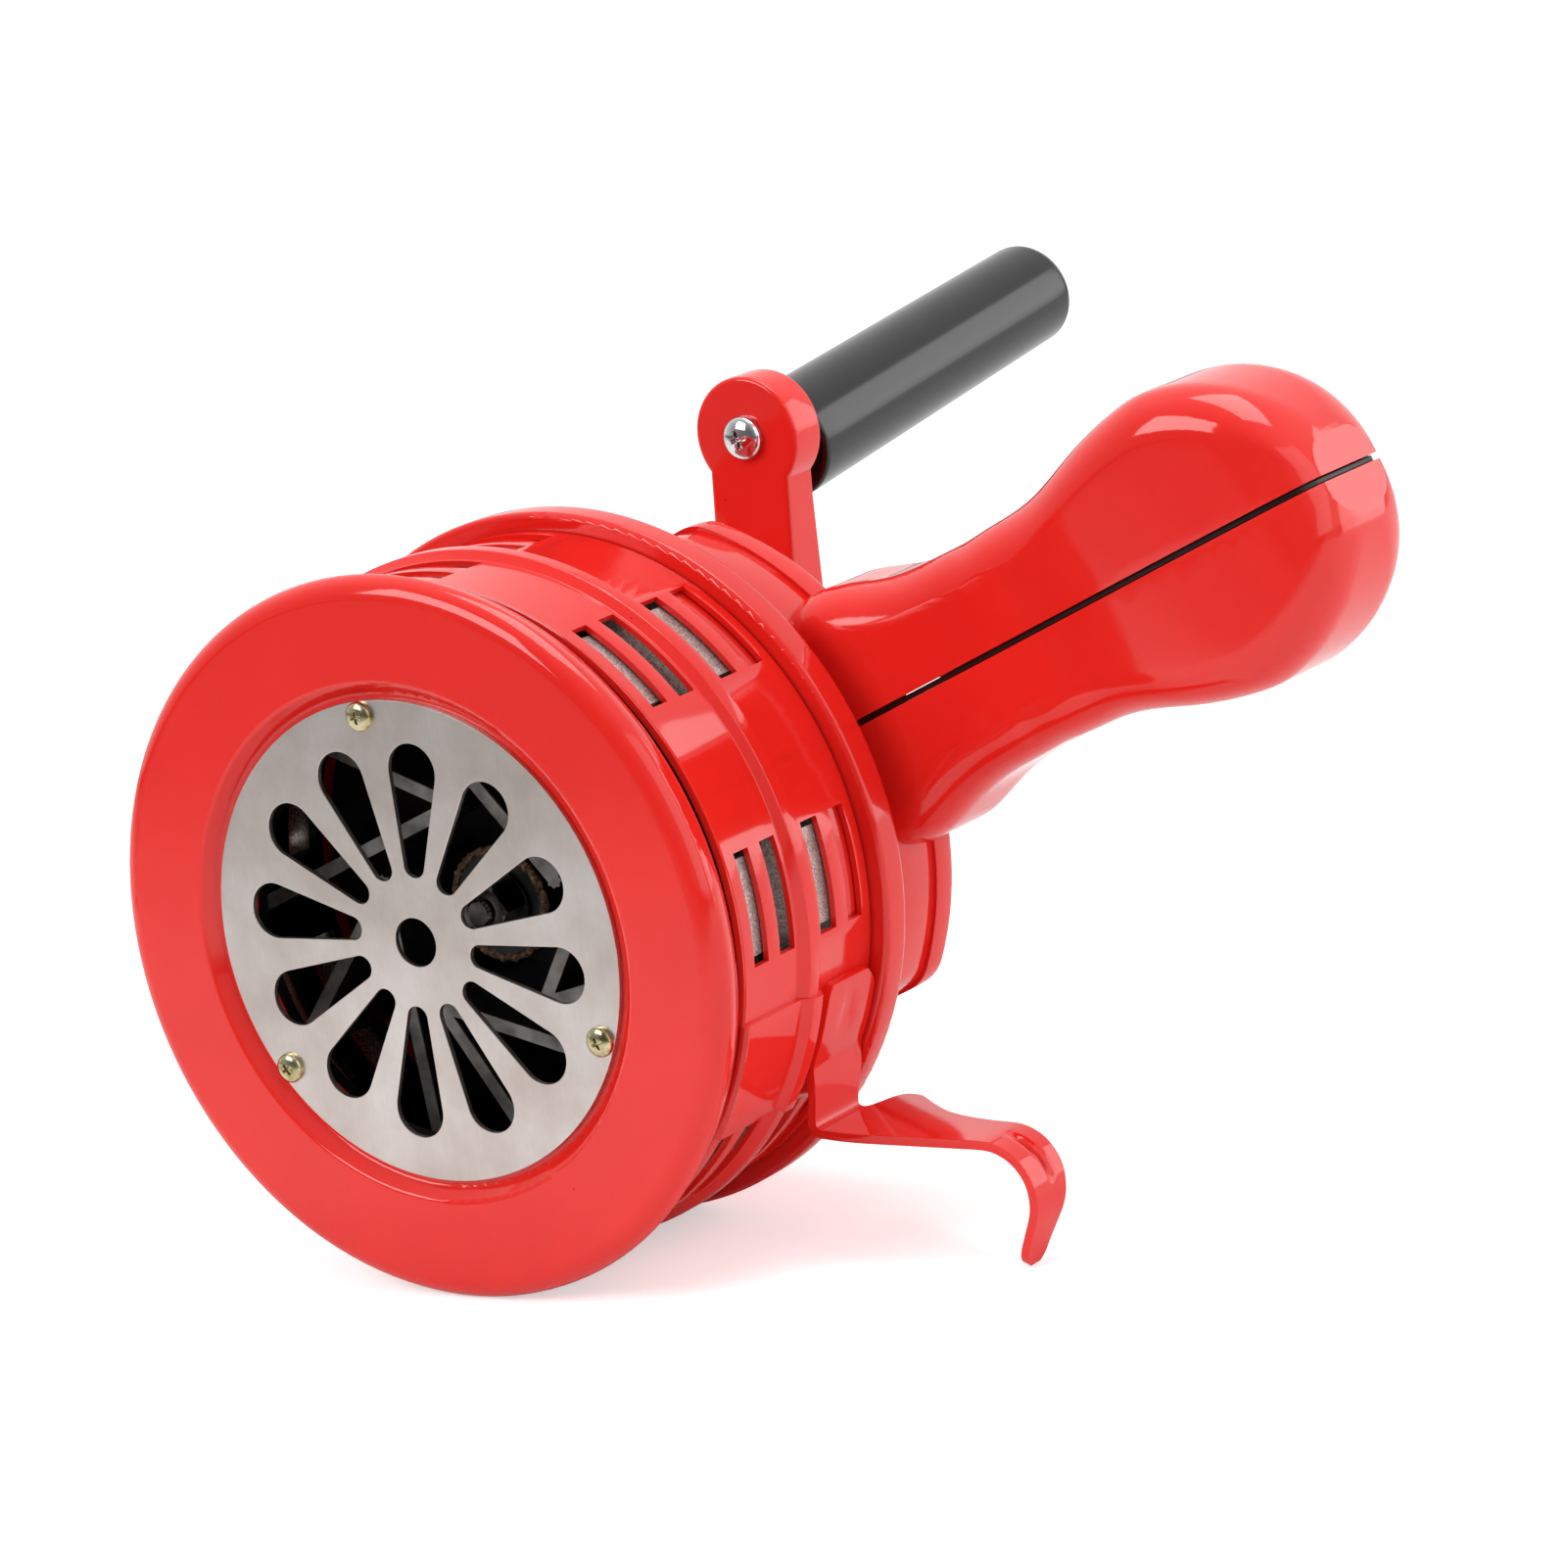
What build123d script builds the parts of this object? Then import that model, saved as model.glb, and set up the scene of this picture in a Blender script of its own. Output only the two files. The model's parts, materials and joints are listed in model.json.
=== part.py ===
from build123d import *
import os
from math import asin, cos, pi, radians, sin, tan

os.makedirs("parts", exist_ok=True)

# Hand crank siren. Millimetres. The drum axis is the Y axis: y = 0 is the flat front
# ring, depth grows rearward (+Y), +Z is up, and the drum rims touch the ground at z = -60.
# Angles are seen from the front, counter-clockwise from +X.

# ---- driving sizes: clearances
RUN = 0.03                  # radial running clearance of shafts and pins
SEAT = 0.02                 # radial gap of a seated part
TAP = 0.04                  # tapped hole over screw radius
AIR = 0.3                   # gap between faces that pass each other

# ---- driving sizes: front cover and grille
STATOR_R = 55.7             # outer radius of the cast ring that all the drum is built on
SLEEVE_T = 1.0              # sheet of the shutter sleeve
SLEEVE_R = STATOR_R + AIR + SLEEVE_T
RIM_OVER = 3.0              # the two drum rims stand this far out of the sleeve
RIM_R = SLEEVE_R + RIM_OVER
RIM_ROUND = 3.5             # rolled front edge
COVER_T = 1.2               # cover sheet
COVER_REAR_Y = 6.5          # rear edge of the rolled rim
COVER_REAR_R = RIM_R - 1.0  # rim radius at its rear edge
STEP_OUT_R = 43.0           # start of the sunk step
STEP_IN_R = 41.2            # end of the sunk step
LIP_R = 34.0                # inner edge of the lip that carries the grille
LIP_Y = 2.5                 # depth of the lip face
GRILLE_R = 40.0
GRILLE_T = 1.0
PETALS = 12
PETAL_IN_R = 12.9
PETAL_IN_W = 2.0
PETAL_OUT_R = 28.6
PETAL_OUT_W = 4.64
PETAL_TURN = 20.6
GRILLE_EYE_R = 4.06
GRILLE_SCREW_R = 37.5
GRILLE_SCREW_TURN = 96.0

# ---- driving sizes: slotted stator
STATOR_WALL = 6.2
STATOR_IN_R = STATOR_R - STATOR_WALL
WEB_T = 2.5
STATOR_REAR_Y = 40.0
PORTS = 8
LAND_TURN = 3.0             # angle of the first land
LAND_ARC = 16.3
FRONT_PORT_END_Y = 26.0
REAR_PORT_Y = 31.0
REAR_PORT_END_Y = 38.5
GROOVE_Y = 22.0
GROOVE_END_Y = 26.5
GROOVE_R = STATOR_R - 1.9
RIB_R = STATOR_R + 1.3
RIB_Y = 28.0
RIB_END_Y = 29.7

# ---- driving sizes: shutter sleeve and finger lever
SLEEVE_Y = 10.5
SLEEVE_END_Y = 47.0
LIP_BEAD_R = SLEEVE_R + 0.5
BEAD_R = RIB_R + 0.4 + SLEEVE_T
BEAD_Y = 26.2
BEAD_END_Y = 31.5
SLOT_BANDS = ((14.2, 18.1), (21.3, 25.4), (32.8, 37.3), (40.7, 44.7))
SLOT_ARC = 18.65
SEAM_SHIFT = -5.4           # the cluster past the seam sits further round
LAP_TURN = -15.0
LAP_ARC = 20.5
LAP_T = 1.0
LEVER_T = 1.5
SADDLE_Y = 33.5
SADDLE_END_Y = 47.2
SADDLE_TURN = -15.0
SADDLE_ARC = 14.5
ARM_Z = -(SLEEVE_R - 18.2)
FOLD_X = SLEEVE_R - 8.4
FOLD_R = 2.6
CURL_X = SLEEVE_R + 39.6
CURL_R = 9.5
TIP_X = SLEEVE_R + 31.0
ARM_Y = 31.0
ARM_END_Y = 41.0
TIP_Y = 33.8                # the curl narrows to a round tip centred here
TIP_R = 3.0
SHOULDER_Y = 52.5

# ---- driving sizes: rear housing and bearings
FLANGE_Y = 47.5
FLANGE_END_Y = 54.2
BACK_T = 2.5
HUB_R = 11.5
HUB_Y = 44.0
HUB_END_Y = 56.2
BEARING_R = 7.5
BEARING_T = 5.0
BEARING_FRONT_Y = 44.7
BEARING_REAR_Y = 51.2
SHOULDER_R = 5.6
HOUSING_SCREW_R = (STATOR_R + STATOR_IN_R) / 2

# ---- driving sizes: rotor
SHAFT_R = 3.0
ROTOR_R = STATOR_IN_R - 1.0
ROTOR_BACK_Y = 41.5
ROTOR_BACK_T = 2.0
ROTOR_HUB_R = 9.0
ROTOR_HUB_Y = 24.0
VANE_Y = 17.0
VANE_T = 2.3
VANE_PAIRS = 5
VANE_ROOT_R = 18.5
VANE_TURN = 92.5
VANE_TIPS = (140.0, 182.6)

# ---- driving sizes: gearbox
GRIP_TURN = 22.9            # direction of the handle
CASE_CORNER = 8.0
CASE_WALL = 1.8
CASE_FLOOR = 2.0
CASE_END_Y = 70.0
COVER_STEP = 0.6
COVER_END_Y = 76.5
COVER_FLOOR = 2.0
BOSS_R = 12.0
BOSS_END_Y = 99.0
MODULE = 0.8
BIG_TEETH = 58
SMALL_TEETH = 12
ADDENDUM = 0.55
DEDENDUM = 0.85
TOOTH = 0.9                 # tooth width on the pitch circle
GEAR_T = 5.0
LAYER_1_Y = 59.5
LAYER_2_Y = 67.0
LAY_DIST = MODULE * (BIG_TEETH + SMALL_TEETH) / 2
GEAR_ROOM = 0.95
CASE_R = LAY_DIST + MODULE * BIG_TEETH / 2 + ADDENDUM + GEAR_ROOM + CASE_WALL
CASE_FLAT = 12.5            # the flats cut this much off the round case
CASE_HALF_W = CASE_R - CASE_FLAT
PIN_R = 2.5

# ---- driving sizes: crank and knob
CRANK_SHAFT_R = 5.0
BUSH_R = 7.0
CRANK_TURN = 85.0
CRANK_THROW = 61.0
CRANK_ARM_Y = 102.5
CRANK_ARM_T = 8.0
CRANK_HUB_T = 11.0          # the bar thickens rearward from the eye to the hub
CRANK_ARM_W = 16.0
CRANK_EYE_R = 10.4
SPIGOT_R = 4.0
KNOB_LEAN = 7.5
KNOB_INSET = 3.6            # knob axis inboard of the eye centre at its near end
KNOB_Y = 112.5
KNOB_L = 85.0
KNOB_NEAR_R = 9.9
KNOB_FAR_R = 9.25
SPINDLE_R = 3.5
SPINDLE_L = 68.0

# ---- driving sizes: handle; distance from the drum axis, half width, half depth
GRIP_STATIONS = (
    (43.0, 21.2, 14.0), (50.0, 21.6, 14.0), (56.0, 22.2, 14.2), (61.0, 21.0, 14.0),
    (66.0, 19.5, 13.8), (72.0, 18.4, 13.6), (80.0, 18.0, 13.6), (88.0, 18.0, 13.6),
    (95.0, 18.3, 13.8), (103.0, 19.4, 14.1), (109.0, 21.2, 14.5), (115.0, 23.0, 14.9),
    (121.0, 24.3, 15.2), (127.0, 25.0, 15.3), (132.0, 24.4, 15.2), (137.0, 22.8, 14.9),
    (141.0, 20.7, 14.5), (145.0, 17.7, 13.8), (148.0, 14.4, 12.8), (150.0, 11.2, 11.4),
    (151.6, 6.4, 8.6),
)
GRIP_Y = 72.5
GRIP_WALL = 1.4
GRIP_GAP = 1.1
GRIP_CORNER = 8.0           # corner radius of the section, less where the handle gets narrow
GRIP_LIP_END = 140.0


def front(depth):
    # plane facing the front at a depth; sketch x is +X and sketch y is +Z
    return Plane.XZ.offset(-depth)


def across(depth):
    # the same plane turned so that sketch x runs along the handle
    turn = radians(GRIP_TURN)
    return Plane(origin=(0, depth, 0), x_dir=(cos(turn), 0, sin(turn)), z_dir=(0, -1, 0))


def radial(angle):
    # plane through the drum axis; sketch x is the radius and sketch y the depth
    turn = radians(angle)
    return Plane(origin=(0, 0, 0), x_dir=(cos(turn), 0, sin(turn)), z_dir=(-sin(turn), 0, cos(turn)))


def polar(radius, angle):
    return (radius * cos(radians(angle)), radius * sin(radians(angle)))


def tooth_outline(teeth, turn):
    # straight-flanked stub teeth, one of them centred on the angle turn
    pitch_r = MODULE * teeth / 2
    tip_half = TOOTH / 2 - ADDENDUM * tan(radians(20))
    root_half = TOOTH / 2 + DEDENDUM * tan(radians(20))
    tip_r = pitch_r + ADDENDUM
    root_r = pitch_r - DEDENDUM
    points = []
    for k in range(teeth):
        mid = turn + 360 * k / teeth
        root_arc = root_half / root_r * 180 / pi
        tip_arc = tip_half / tip_r * 180 / pi
        points.append(polar(root_r, mid - root_arc))
        points.append(polar(tip_r, mid - tip_arc))
        points.append(polar(tip_r, mid + tip_arc))
        points.append(polar(root_r, mid + root_arc))
    return points


def screw(head_r, head_t, shank_r, length, slot_w, slot_t):
    # pan head with a cross recess; the head underside is at z = 0, the shank goes to -z
    with BuildPart() as body:
        with BuildSketch(Plane.XY):
            Circle(head_r)
        extrude(amount=head_t)
        fillet(body.edges().group_by(Axis.Z)[-1], head_t * 0.6)
        with BuildSketch(Plane.XY.offset(head_t)):
            Rectangle(head_r * 1.15, slot_w)
            Rectangle(slot_w, head_r * 1.15)
        extrude(amount=-slot_t, mode=Mode.SUBTRACT)
        with BuildSketch(Plane.XY):
            Circle(shank_r)
        extrude(amount=-length)
        chamfer(body.edges().group_by(Axis.Z)[0], shank_r * 0.3)
    return body.part


# ---- front cover: pressed ring, rolled outside, with a sunk lip for the grille
GRILLE_SCREW_HOLE = 1.45
with BuildPart() as front_cover:
    with BuildSketch(Plane.XY) as cover_half:
        with BuildLine():
            FilletPolyline(
                (LIP_R, LIP_Y), (STEP_IN_R, LIP_Y), (STEP_OUT_R, 0), (RIM_R - RIM_ROUND, 0),
                radius=1.0,
            )
            CenterArc((RIM_R - RIM_ROUND, RIM_ROUND), RIM_ROUND, -90, 90)
            Line((RIM_R, RIM_ROUND), (COVER_REAR_R, COVER_REAR_Y))
            offset(amount=COVER_T, side=Side.LEFT)
        make_face()
    revolve(axis=Axis.Y)
    with BuildSketch(front(0)):
        with PolarLocations(GRILLE_SCREW_R, 3, start_angle=GRILLE_SCREW_TURN):
            Circle(GRILLE_SCREW_HOLE)
    extrude(amount=-8, mode=Mode.SUBTRACT)
front_cover.part.label = "front_cover"

# ---- grille plate: flat disc with twelve petal openings
with BuildSketch() as petal:
    with Locations((PETAL_IN_R, 0)):
        Circle(PETAL_IN_W)
    with Locations((PETAL_OUT_R, 0)):
        Circle(PETAL_OUT_W)
    make_hull()

GRILLE_Y = LIP_Y - GRILLE_T
with BuildPart() as grille_plate:
    with BuildSketch(front(GRILLE_Y)):
        Circle(GRILLE_R)
        Circle(GRILLE_EYE_R, mode=Mode.SUBTRACT)
        with PolarLocations(0, PETALS, start_angle=PETAL_TURN):
            add(petal.sketch, mode=Mode.SUBTRACT)
        with PolarLocations(GRILLE_SCREW_R, 3, start_angle=GRILLE_SCREW_TURN):
            Circle(GRILLE_SCREW_HOLE, mode=Mode.SUBTRACT)
    extrude(amount=-GRILLE_T)
grille_plate.part.label = "grille_plate"

# ---- grille screws: three pan heads, through plate and lip into the stator web
GRILLE_SCREW_SHANK = 1.2
WEB_Y = LIP_Y + COVER_T
grille_screw = screw(2.5, 1.4, GRILLE_SCREW_SHANK, WEB_Y + WEB_T - GRILLE_Y, 0.7, 0.7)
with BuildPart(front(GRILLE_Y)) as grille_screws:
    with PolarLocations(GRILLE_SCREW_R, 3, start_angle=GRILLE_SCREW_TURN):
        add(grille_screw)
grille_screws.part.label = "grille_screws"

# ---- stator: cast ring with two rows of eight ports between the lands
HOUSING_SCREW_SHANK = 1.5
HOUSING_SCREW_L = 25.0
HOUSING_SCREW_TURNS = (LAND_TURN + 90, LAND_TURN + 135, LAND_TURN + 270, LAND_TURN + 315)
PORT_ARC = 360 / PORTS - LAND_ARC
PORT_TURN = LAND_TURN + 180 / PORTS
PORT_REACH = RIM_R + 10
with BuildPart() as stator_ring:
    with BuildSketch(Plane.XY):
        with BuildLine():
            Polyline(
                (LIP_R, WEB_Y), (STATOR_R, WEB_Y), (STATOR_R, GROOVE_Y), (GROOVE_R, GROOVE_Y),
                (GROOVE_R, GROOVE_END_Y), (STATOR_R, GROOVE_END_Y), (STATOR_R, RIB_Y),
                (RIB_R, RIB_Y), (RIB_R, RIB_END_Y), (STATOR_R, RIB_END_Y),
                (STATOR_R, STATOR_REAR_Y), (STATOR_IN_R, STATOR_REAR_Y),
                (STATOR_IN_R, WEB_Y + WEB_T), (LIP_R, WEB_Y + WEB_T), close=True,
            )
        make_face()
    revolve(axis=Axis.Y)
    with BuildSketch(front(WEB_Y + WEB_T)) as port_front:
        with PolarLocations(0, PORTS, start_angle=PORT_TURN):
            Polygon((0, 0), polar(PORT_REACH, -PORT_ARC / 2), polar(PORT_REACH, PORT_ARC / 2), align=None)
        Circle(STATOR_IN_R - 1, mode=Mode.SUBTRACT)
    extrude(amount=-(FRONT_PORT_END_Y - WEB_Y - WEB_T), mode=Mode.SUBTRACT)
    with BuildSketch(front(REAR_PORT_Y)) as port_rear:
        with PolarLocations(0, PORTS, start_angle=PORT_TURN):
            Polygon((0, 0), polar(PORT_REACH, -PORT_ARC / 2), polar(PORT_REACH, PORT_ARC / 2), align=None)
        Circle(STATOR_IN_R - 1, mode=Mode.SUBTRACT)
    extrude(amount=-(REAR_PORT_END_Y - REAR_PORT_Y), mode=Mode.SUBTRACT)
    with BuildSketch(front(WEB_Y)):
        with PolarLocations(GRILLE_SCREW_R, 3, start_angle=GRILLE_SCREW_TURN):
            Circle(GRILLE_SCREW_SHANK + TAP)
    extrude(amount=-WEB_T, mode=Mode.SUBTRACT)
    with BuildSketch(front(FLANGE_END_Y - HOUSING_SCREW_L - 1)):
        for turn in HOUSING_SCREW_TURNS:
            with Locations(polar(HOUSING_SCREW_R, turn)):
                Circle(HOUSING_SCREW_SHANK + TAP)
    extrude(amount=-30, mode=Mode.SUBTRACT)
stator_ring.part.label = "stator_ring"

# ---- shutter sleeve: thin ring with a middle bead, eight clusters of slots and a lapped seam
BEAD_MID_Y = (BEAD_Y + BEAD_END_Y) / 2
with BuildPart() as shutter_sleeve:
    with BuildSketch(Plane.XY):
        with BuildLine():
            FilletPolyline(
                (LIP_BEAD_R, SLEEVE_Y), (SLEEVE_R, SLEEVE_Y + 1.2), (SLEEVE_R, BEAD_Y),
                (BEAD_R, BEAD_Y + 1.3), (BEAD_R, BEAD_END_Y - 1.3), (SLEEVE_R, BEAD_END_Y),
                (SLEEVE_R, SLEEVE_END_Y), radius=0.4,
            )
            offset(amount=SLEEVE_T, side=Side.LEFT)
        make_face()
    revolve(axis=Axis.Y)
    with BuildSketch(radial(LAP_TURN)):
        with BuildLine():
            FilletPolyline(
                (LIP_BEAD_R + LAP_T, SLEEVE_Y), (SLEEVE_R + LAP_T, SLEEVE_Y + 1.2),
                (SLEEVE_R + LAP_T, BEAD_Y), (BEAD_R + LAP_T, BEAD_Y + 1.3),
                (BEAD_R + LAP_T, BEAD_END_Y - 1.3), (SLEEVE_R + LAP_T, BEAD_END_Y),
                radius=0.4,
            )
            offset(amount=LAP_T + 0.3, side=Side.LEFT)
        make_face()
    revolve(axis=Axis.Y, revolution_arc=LAP_ARC)
    for slot_y, slot_end_y in SLOT_BANDS:
        with BuildSketch(front(slot_y)):
            for k in range(PORTS):
                mid = LAND_TURN + 360 / PORTS * k
                if k == PORTS - 1:
                    mid = mid + SEAM_SHIFT
                Polygon(
                    (0, 0), polar(PORT_REACH, mid - SLOT_ARC / 2),
                    polar(PORT_REACH, mid + SLOT_ARC / 2), align=None,
                )
            Circle(SLEEVE_R - 3, mode=Mode.SUBTRACT)
        extrude(amount=-(slot_end_y - slot_y), mode=Mode.SUBTRACT)
shutter_sleeve.part.label = "shutter_sleeve"

# ---- shutter lever: saddle strip welded on the sleeve, folded out to a curled finger hook
with BuildPart() as shutter_lever:
    with BuildSketch(front(ARM_Y - 1)):
        with BuildLine():
            saddle = CenterArc((0, 0), SLEEVE_R, SADDLE_TURN, -SADDLE_ARC)
            fold = FilletPolyline(
                saddle @ 1, (FOLD_X, ARM_Z - LEVER_T), (FOLD_X + 10, ARM_Z - LEVER_T), radius=FOLD_R
            )
            FilletPolyline(
                fold @ 1, (CURL_X - 2.2, ARM_Z - LEVER_T), (TIP_X - 1.45, -RIM_R + 0.4),
                radius=CURL_R - LEVER_T,
            )
            offset(amount=LEVER_T, side=Side.LEFT)
        make_face()
    extrude(amount=-(SHOULDER_Y - ARM_Y + 1))
    with BuildSketch(Plane.XY.offset(ARM_Z + 2.3)):
        Rectangle(4 * RIM_R, 4 * RIM_R)
        with Locations((SLEEVE_R, (SADDLE_Y + SADDLE_END_Y) / 2)):
            Rectangle(SLEEVE_R, SADDLE_END_Y - SADDLE_Y, mode=Mode.SUBTRACT)
    extrude(amount=RIM_R, mode=Mode.SUBTRACT)
    with BuildSketch(Plane.XY.offset(ARM_Z + 2.3)):
        Rectangle(4 * RIM_R, 4 * RIM_R)
        with BuildLine():
            FilletPolyline(
                (FOLD_X - 5, ARM_Y + 1.5), (FOLD_X + 10, ARM_Y), (CURL_X + 5, ARM_Y),
                (CURL_X + 5, ARM_END_Y),
                (CURL_X - 13, ARM_END_Y), (CURL_X - 23, ARM_END_Y + 2.2),
                (FOLD_X + 11.9, SHOULDER_Y - 2.5), (FOLD_X + 8.4, SHOULDER_Y),
                (FOLD_X + 4.9, SHOULDER_Y), (FOLD_X + 3, SADDLE_END_Y - 2.2),
                (FOLD_X - 5, SADDLE_END_Y - 2.2), radius=1.4, close=True,
            )
        make_face(mode=Mode.SUBTRACT)
    extrude(amount=-RIM_R, mode=Mode.SUBTRACT)
    with BuildSketch(Plane.YZ.offset(CURL_X - 14)):
        Rectangle(4 * RIM_R, 4 * RIM_R)
        with BuildLine():
            FilletPolyline(
                (ARM_Y, 0), (ARM_Y, ARM_Z - LEVER_T - 3), (TIP_Y - TIP_R, TIP_R - RIM_R),
                (TIP_Y - TIP_R, -2 * RIM_R), (TIP_Y + TIP_R, -2 * RIM_R),
                (TIP_Y + TIP_R, TIP_R - RIM_R), (ARM_END_Y, ARM_Z - LEVER_T - 3), (ARM_END_Y, 0),
                radius=TIP_R, close=True,
            )
        make_face(mode=Mode.SUBTRACT)
    extrude(amount=RIM_R, mode=Mode.SUBTRACT)
    with BuildSketch(Plane.YZ.offset(TIP_X - 12)):
        with Locations((TIP_Y, -RIM_R)):
            Rectangle(4 * TIP_R, 2 * TIP_R + 0.8)
        with Locations((TIP_Y, TIP_R + 0.4 - RIM_R)):
            Circle(TIP_R, mode=Mode.SUBTRACT)
    extrude(amount=RIM_R, mode=Mode.SUBTRACT)
shutter_lever.part.label = "shutter_lever"

# ---- rear housing: spigot under the sleeve, drum flange, back plate and bearing hub
CASE_SCREW_R = CASE_R - 20.5
CASE_SCREW_SHANK = 1.5
with BuildPart() as rear_housing:
    with BuildSketch(Plane.XY) as housing_half:
        with BuildLine():
            Polyline(
                (BEARING_R + SEAT, HUB_Y), (HUB_R, HUB_Y), (HUB_R, FLANGE_END_Y - BACK_T),
                (STATOR_IN_R, FLANGE_END_Y - BACK_T), (STATOR_IN_R, STATOR_REAR_Y),
                (STATOR_R, STATOR_REAR_Y), (STATOR_R, FLANGE_Y), (RIM_R, FLANGE_Y),
                (RIM_R, FLANGE_END_Y), (HUB_R, FLANGE_END_Y), (HUB_R, HUB_END_Y),
                (BEARING_R + SEAT, HUB_END_Y), (BEARING_R + SEAT, BEARING_REAR_Y),
                (SHOULDER_R, BEARING_REAR_Y), (SHOULDER_R, BEARING_FRONT_Y + BEARING_T),
                (BEARING_R + SEAT, BEARING_FRONT_Y + BEARING_T), close=True,
            )
        make_face()
        fillet(housing_half.vertices().group_by(Axis.X)[-1].sort_by(Axis.Y)[-1], 2.0)
        fillet(housing_half.vertices().group_by(Axis.X)[-1].sort_by(Axis.Y)[0], 1.0)
    revolve(axis=Axis.Y)
    with BuildSketch(front(STATOR_REAR_Y)):
        for turn in HOUSING_SCREW_TURNS:
            with Locations(polar(HOUSING_SCREW_R, turn)):
                Circle(HOUSING_SCREW_SHANK + 0.1)
    extrude(amount=-20, mode=Mode.SUBTRACT)
    with BuildSketch(across(FLANGE_END_Y - BACK_T)):
        with PolarLocations(CASE_SCREW_R, 3):
            Circle(CASE_SCREW_SHANK + TAP)
    extrude(amount=-BACK_T, mode=Mode.SUBTRACT)
rear_housing.part.label = "rear_housing"

# ---- housing screws: four long screws from the rear flange into the stator lands
housing_screw = screw(2.75, 2.0, HOUSING_SCREW_SHANK, HOUSING_SCREW_L, 0.8, 0.9)
with BuildPart() as housing_screws:
    for turn in HOUSING_SCREW_TURNS:
        x, z = polar(HOUSING_SCREW_R, turn)
        with Locations(Plane(origin=(x, FLANGE_END_Y, z), z_dir=(0, 1, 0))):
            add(housing_screw)
housing_screws.part.label = "housing_screws"

# ---- rotor wheel: back disc, hub and five V pairs of swept vanes
with BuildPart() as rotor_wheel:
    with BuildSketch(front(ROTOR_BACK_Y)):
        Circle(ROTOR_R)
    extrude(amount=-ROTOR_BACK_T)
    with BuildSketch(front(ROTOR_HUB_Y)):
        Circle(ROTOR_HUB_R)
    extrude(amount=-(ROTOR_BACK_Y - ROTOR_HUB_Y))
    with BuildSketch(front(ROTOR_BACK_Y + ROTOR_BACK_T)):
        Circle(SHAFT_R + 1.5)
    extrude(amount=-(BEARING_FRONT_Y - AIR - ROTOR_BACK_Y - ROTOR_BACK_T))
    with BuildSketch(front(VANE_Y)) as vanes:
        for k in range(VANE_PAIRS):
            apex = Vector(*polar(VANE_ROOT_R, VANE_TURN + 72 * k))
            for tip_turn in VANE_TIPS:
                tip = Vector(*polar(ROTOR_R + 4, tip_turn + 72 * k))
                run = (tip - apex).normalized()
                side = Vector(-run.Y, run.X) * (VANE_T / 2)
                root = apex - run * (VANE_T / 2)
                Polygon(root + side, root - side, tip - side, tip + side, align=None)
        Circle(ROTOR_R, mode=Mode.INTERSECT)
    extrude(amount=-(ROTOR_BACK_Y - VANE_Y))
    with BuildSketch(front(ROTOR_HUB_Y)):
        Circle(SHAFT_R + SEAT)
    extrude(amount=-30, mode=Mode.SUBTRACT)
rotor_wheel.part.label = "rotor_wheel"

# ---- rotor shaft, with a threaded front end for the nut
SHAFT_END_Y = 65.2
THREAD_R = 2.5
NUT_T = 4.0
WASHER_T = 1.0
SHAFT_Y = ROTOR_HUB_Y - WASHER_T - NUT_T - 1.0
with BuildPart() as rotor_shaft:
    with BuildSketch(Plane.XY) as shaft_half:
        with BuildLine():
            Polyline(
                (0, SHAFT_Y), (THREAD_R, SHAFT_Y), (THREAD_R, ROTOR_HUB_Y + 0.5),
                (SHAFT_R, ROTOR_HUB_Y + 0.5), (SHAFT_R, SHAFT_END_Y), (0, SHAFT_END_Y), close=True,
            )
        make_face()
        chamfer(shaft_half.vertices().filter_by_position(Axis.X, 1, 9).group_by(Axis.Y)[0], 0.5)
        chamfer(shaft_half.vertices().filter_by_position(Axis.X, 1, 9).group_by(Axis.Y)[-1], 0.5)
    revolve(axis=Axis.Y)
rotor_shaft.part.label = "rotor_shaft"

with BuildPart() as rotor_washer:
    with BuildSketch(front(ROTOR_HUB_Y - WASHER_T)):
        Circle(6.5)
        Circle(THREAD_R + 0.15, mode=Mode.SUBTRACT)
    extrude(amount=-WASHER_T)
rotor_washer.part.label = "rotor_washer"

with BuildPart() as rotor_nut:
    with BuildSketch(front(ROTOR_HUB_Y - WASHER_T - NUT_T)):
        RegularPolygon(4.4, 6, major_radius=False)
        Circle(THREAD_R + SEAT, mode=Mode.SUBTRACT)
    extrude(amount=-NUT_T)
    with BuildSketch(Plane.XY) as nut_round:
        with BuildLine():
            Polyline(
                (0, ROTOR_HUB_Y - 1 - NUT_T), (4.3, ROTOR_HUB_Y - 1 - NUT_T),
                (5.3, ROTOR_HUB_Y - 0.4 - NUT_T), (5.3, ROTOR_HUB_Y - WASHER_T),
                (0, ROTOR_HUB_Y - WASHER_T), close=True,
            )
        make_face()
    revolve(axis=Axis.Y, mode=Mode.INTERSECT)
rotor_nut.part.label = "rotor_nut"


def bearing_half(start_y):
    # half section of a shielded ball bearing: two rings with the shield sunk between them
    sunk = 0.35
    return (
        (SHAFT_R + RUN, start_y), (SHAFT_R + 1.3, start_y), (SHAFT_R + 1.3, start_y + sunk),
        (BEARING_R - 1.2, start_y + sunk), (BEARING_R - 1.2, start_y), (BEARING_R, start_y),
        (BEARING_R, start_y + BEARING_T), (BEARING_R - 1.2, start_y + BEARING_T),
        (BEARING_R - 1.2, start_y + BEARING_T - sunk),
        (SHAFT_R + 1.3, start_y + BEARING_T - sunk), (SHAFT_R + 1.3, start_y + BEARING_T),
        (SHAFT_R + RUN, start_y + BEARING_T),
    )


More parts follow.
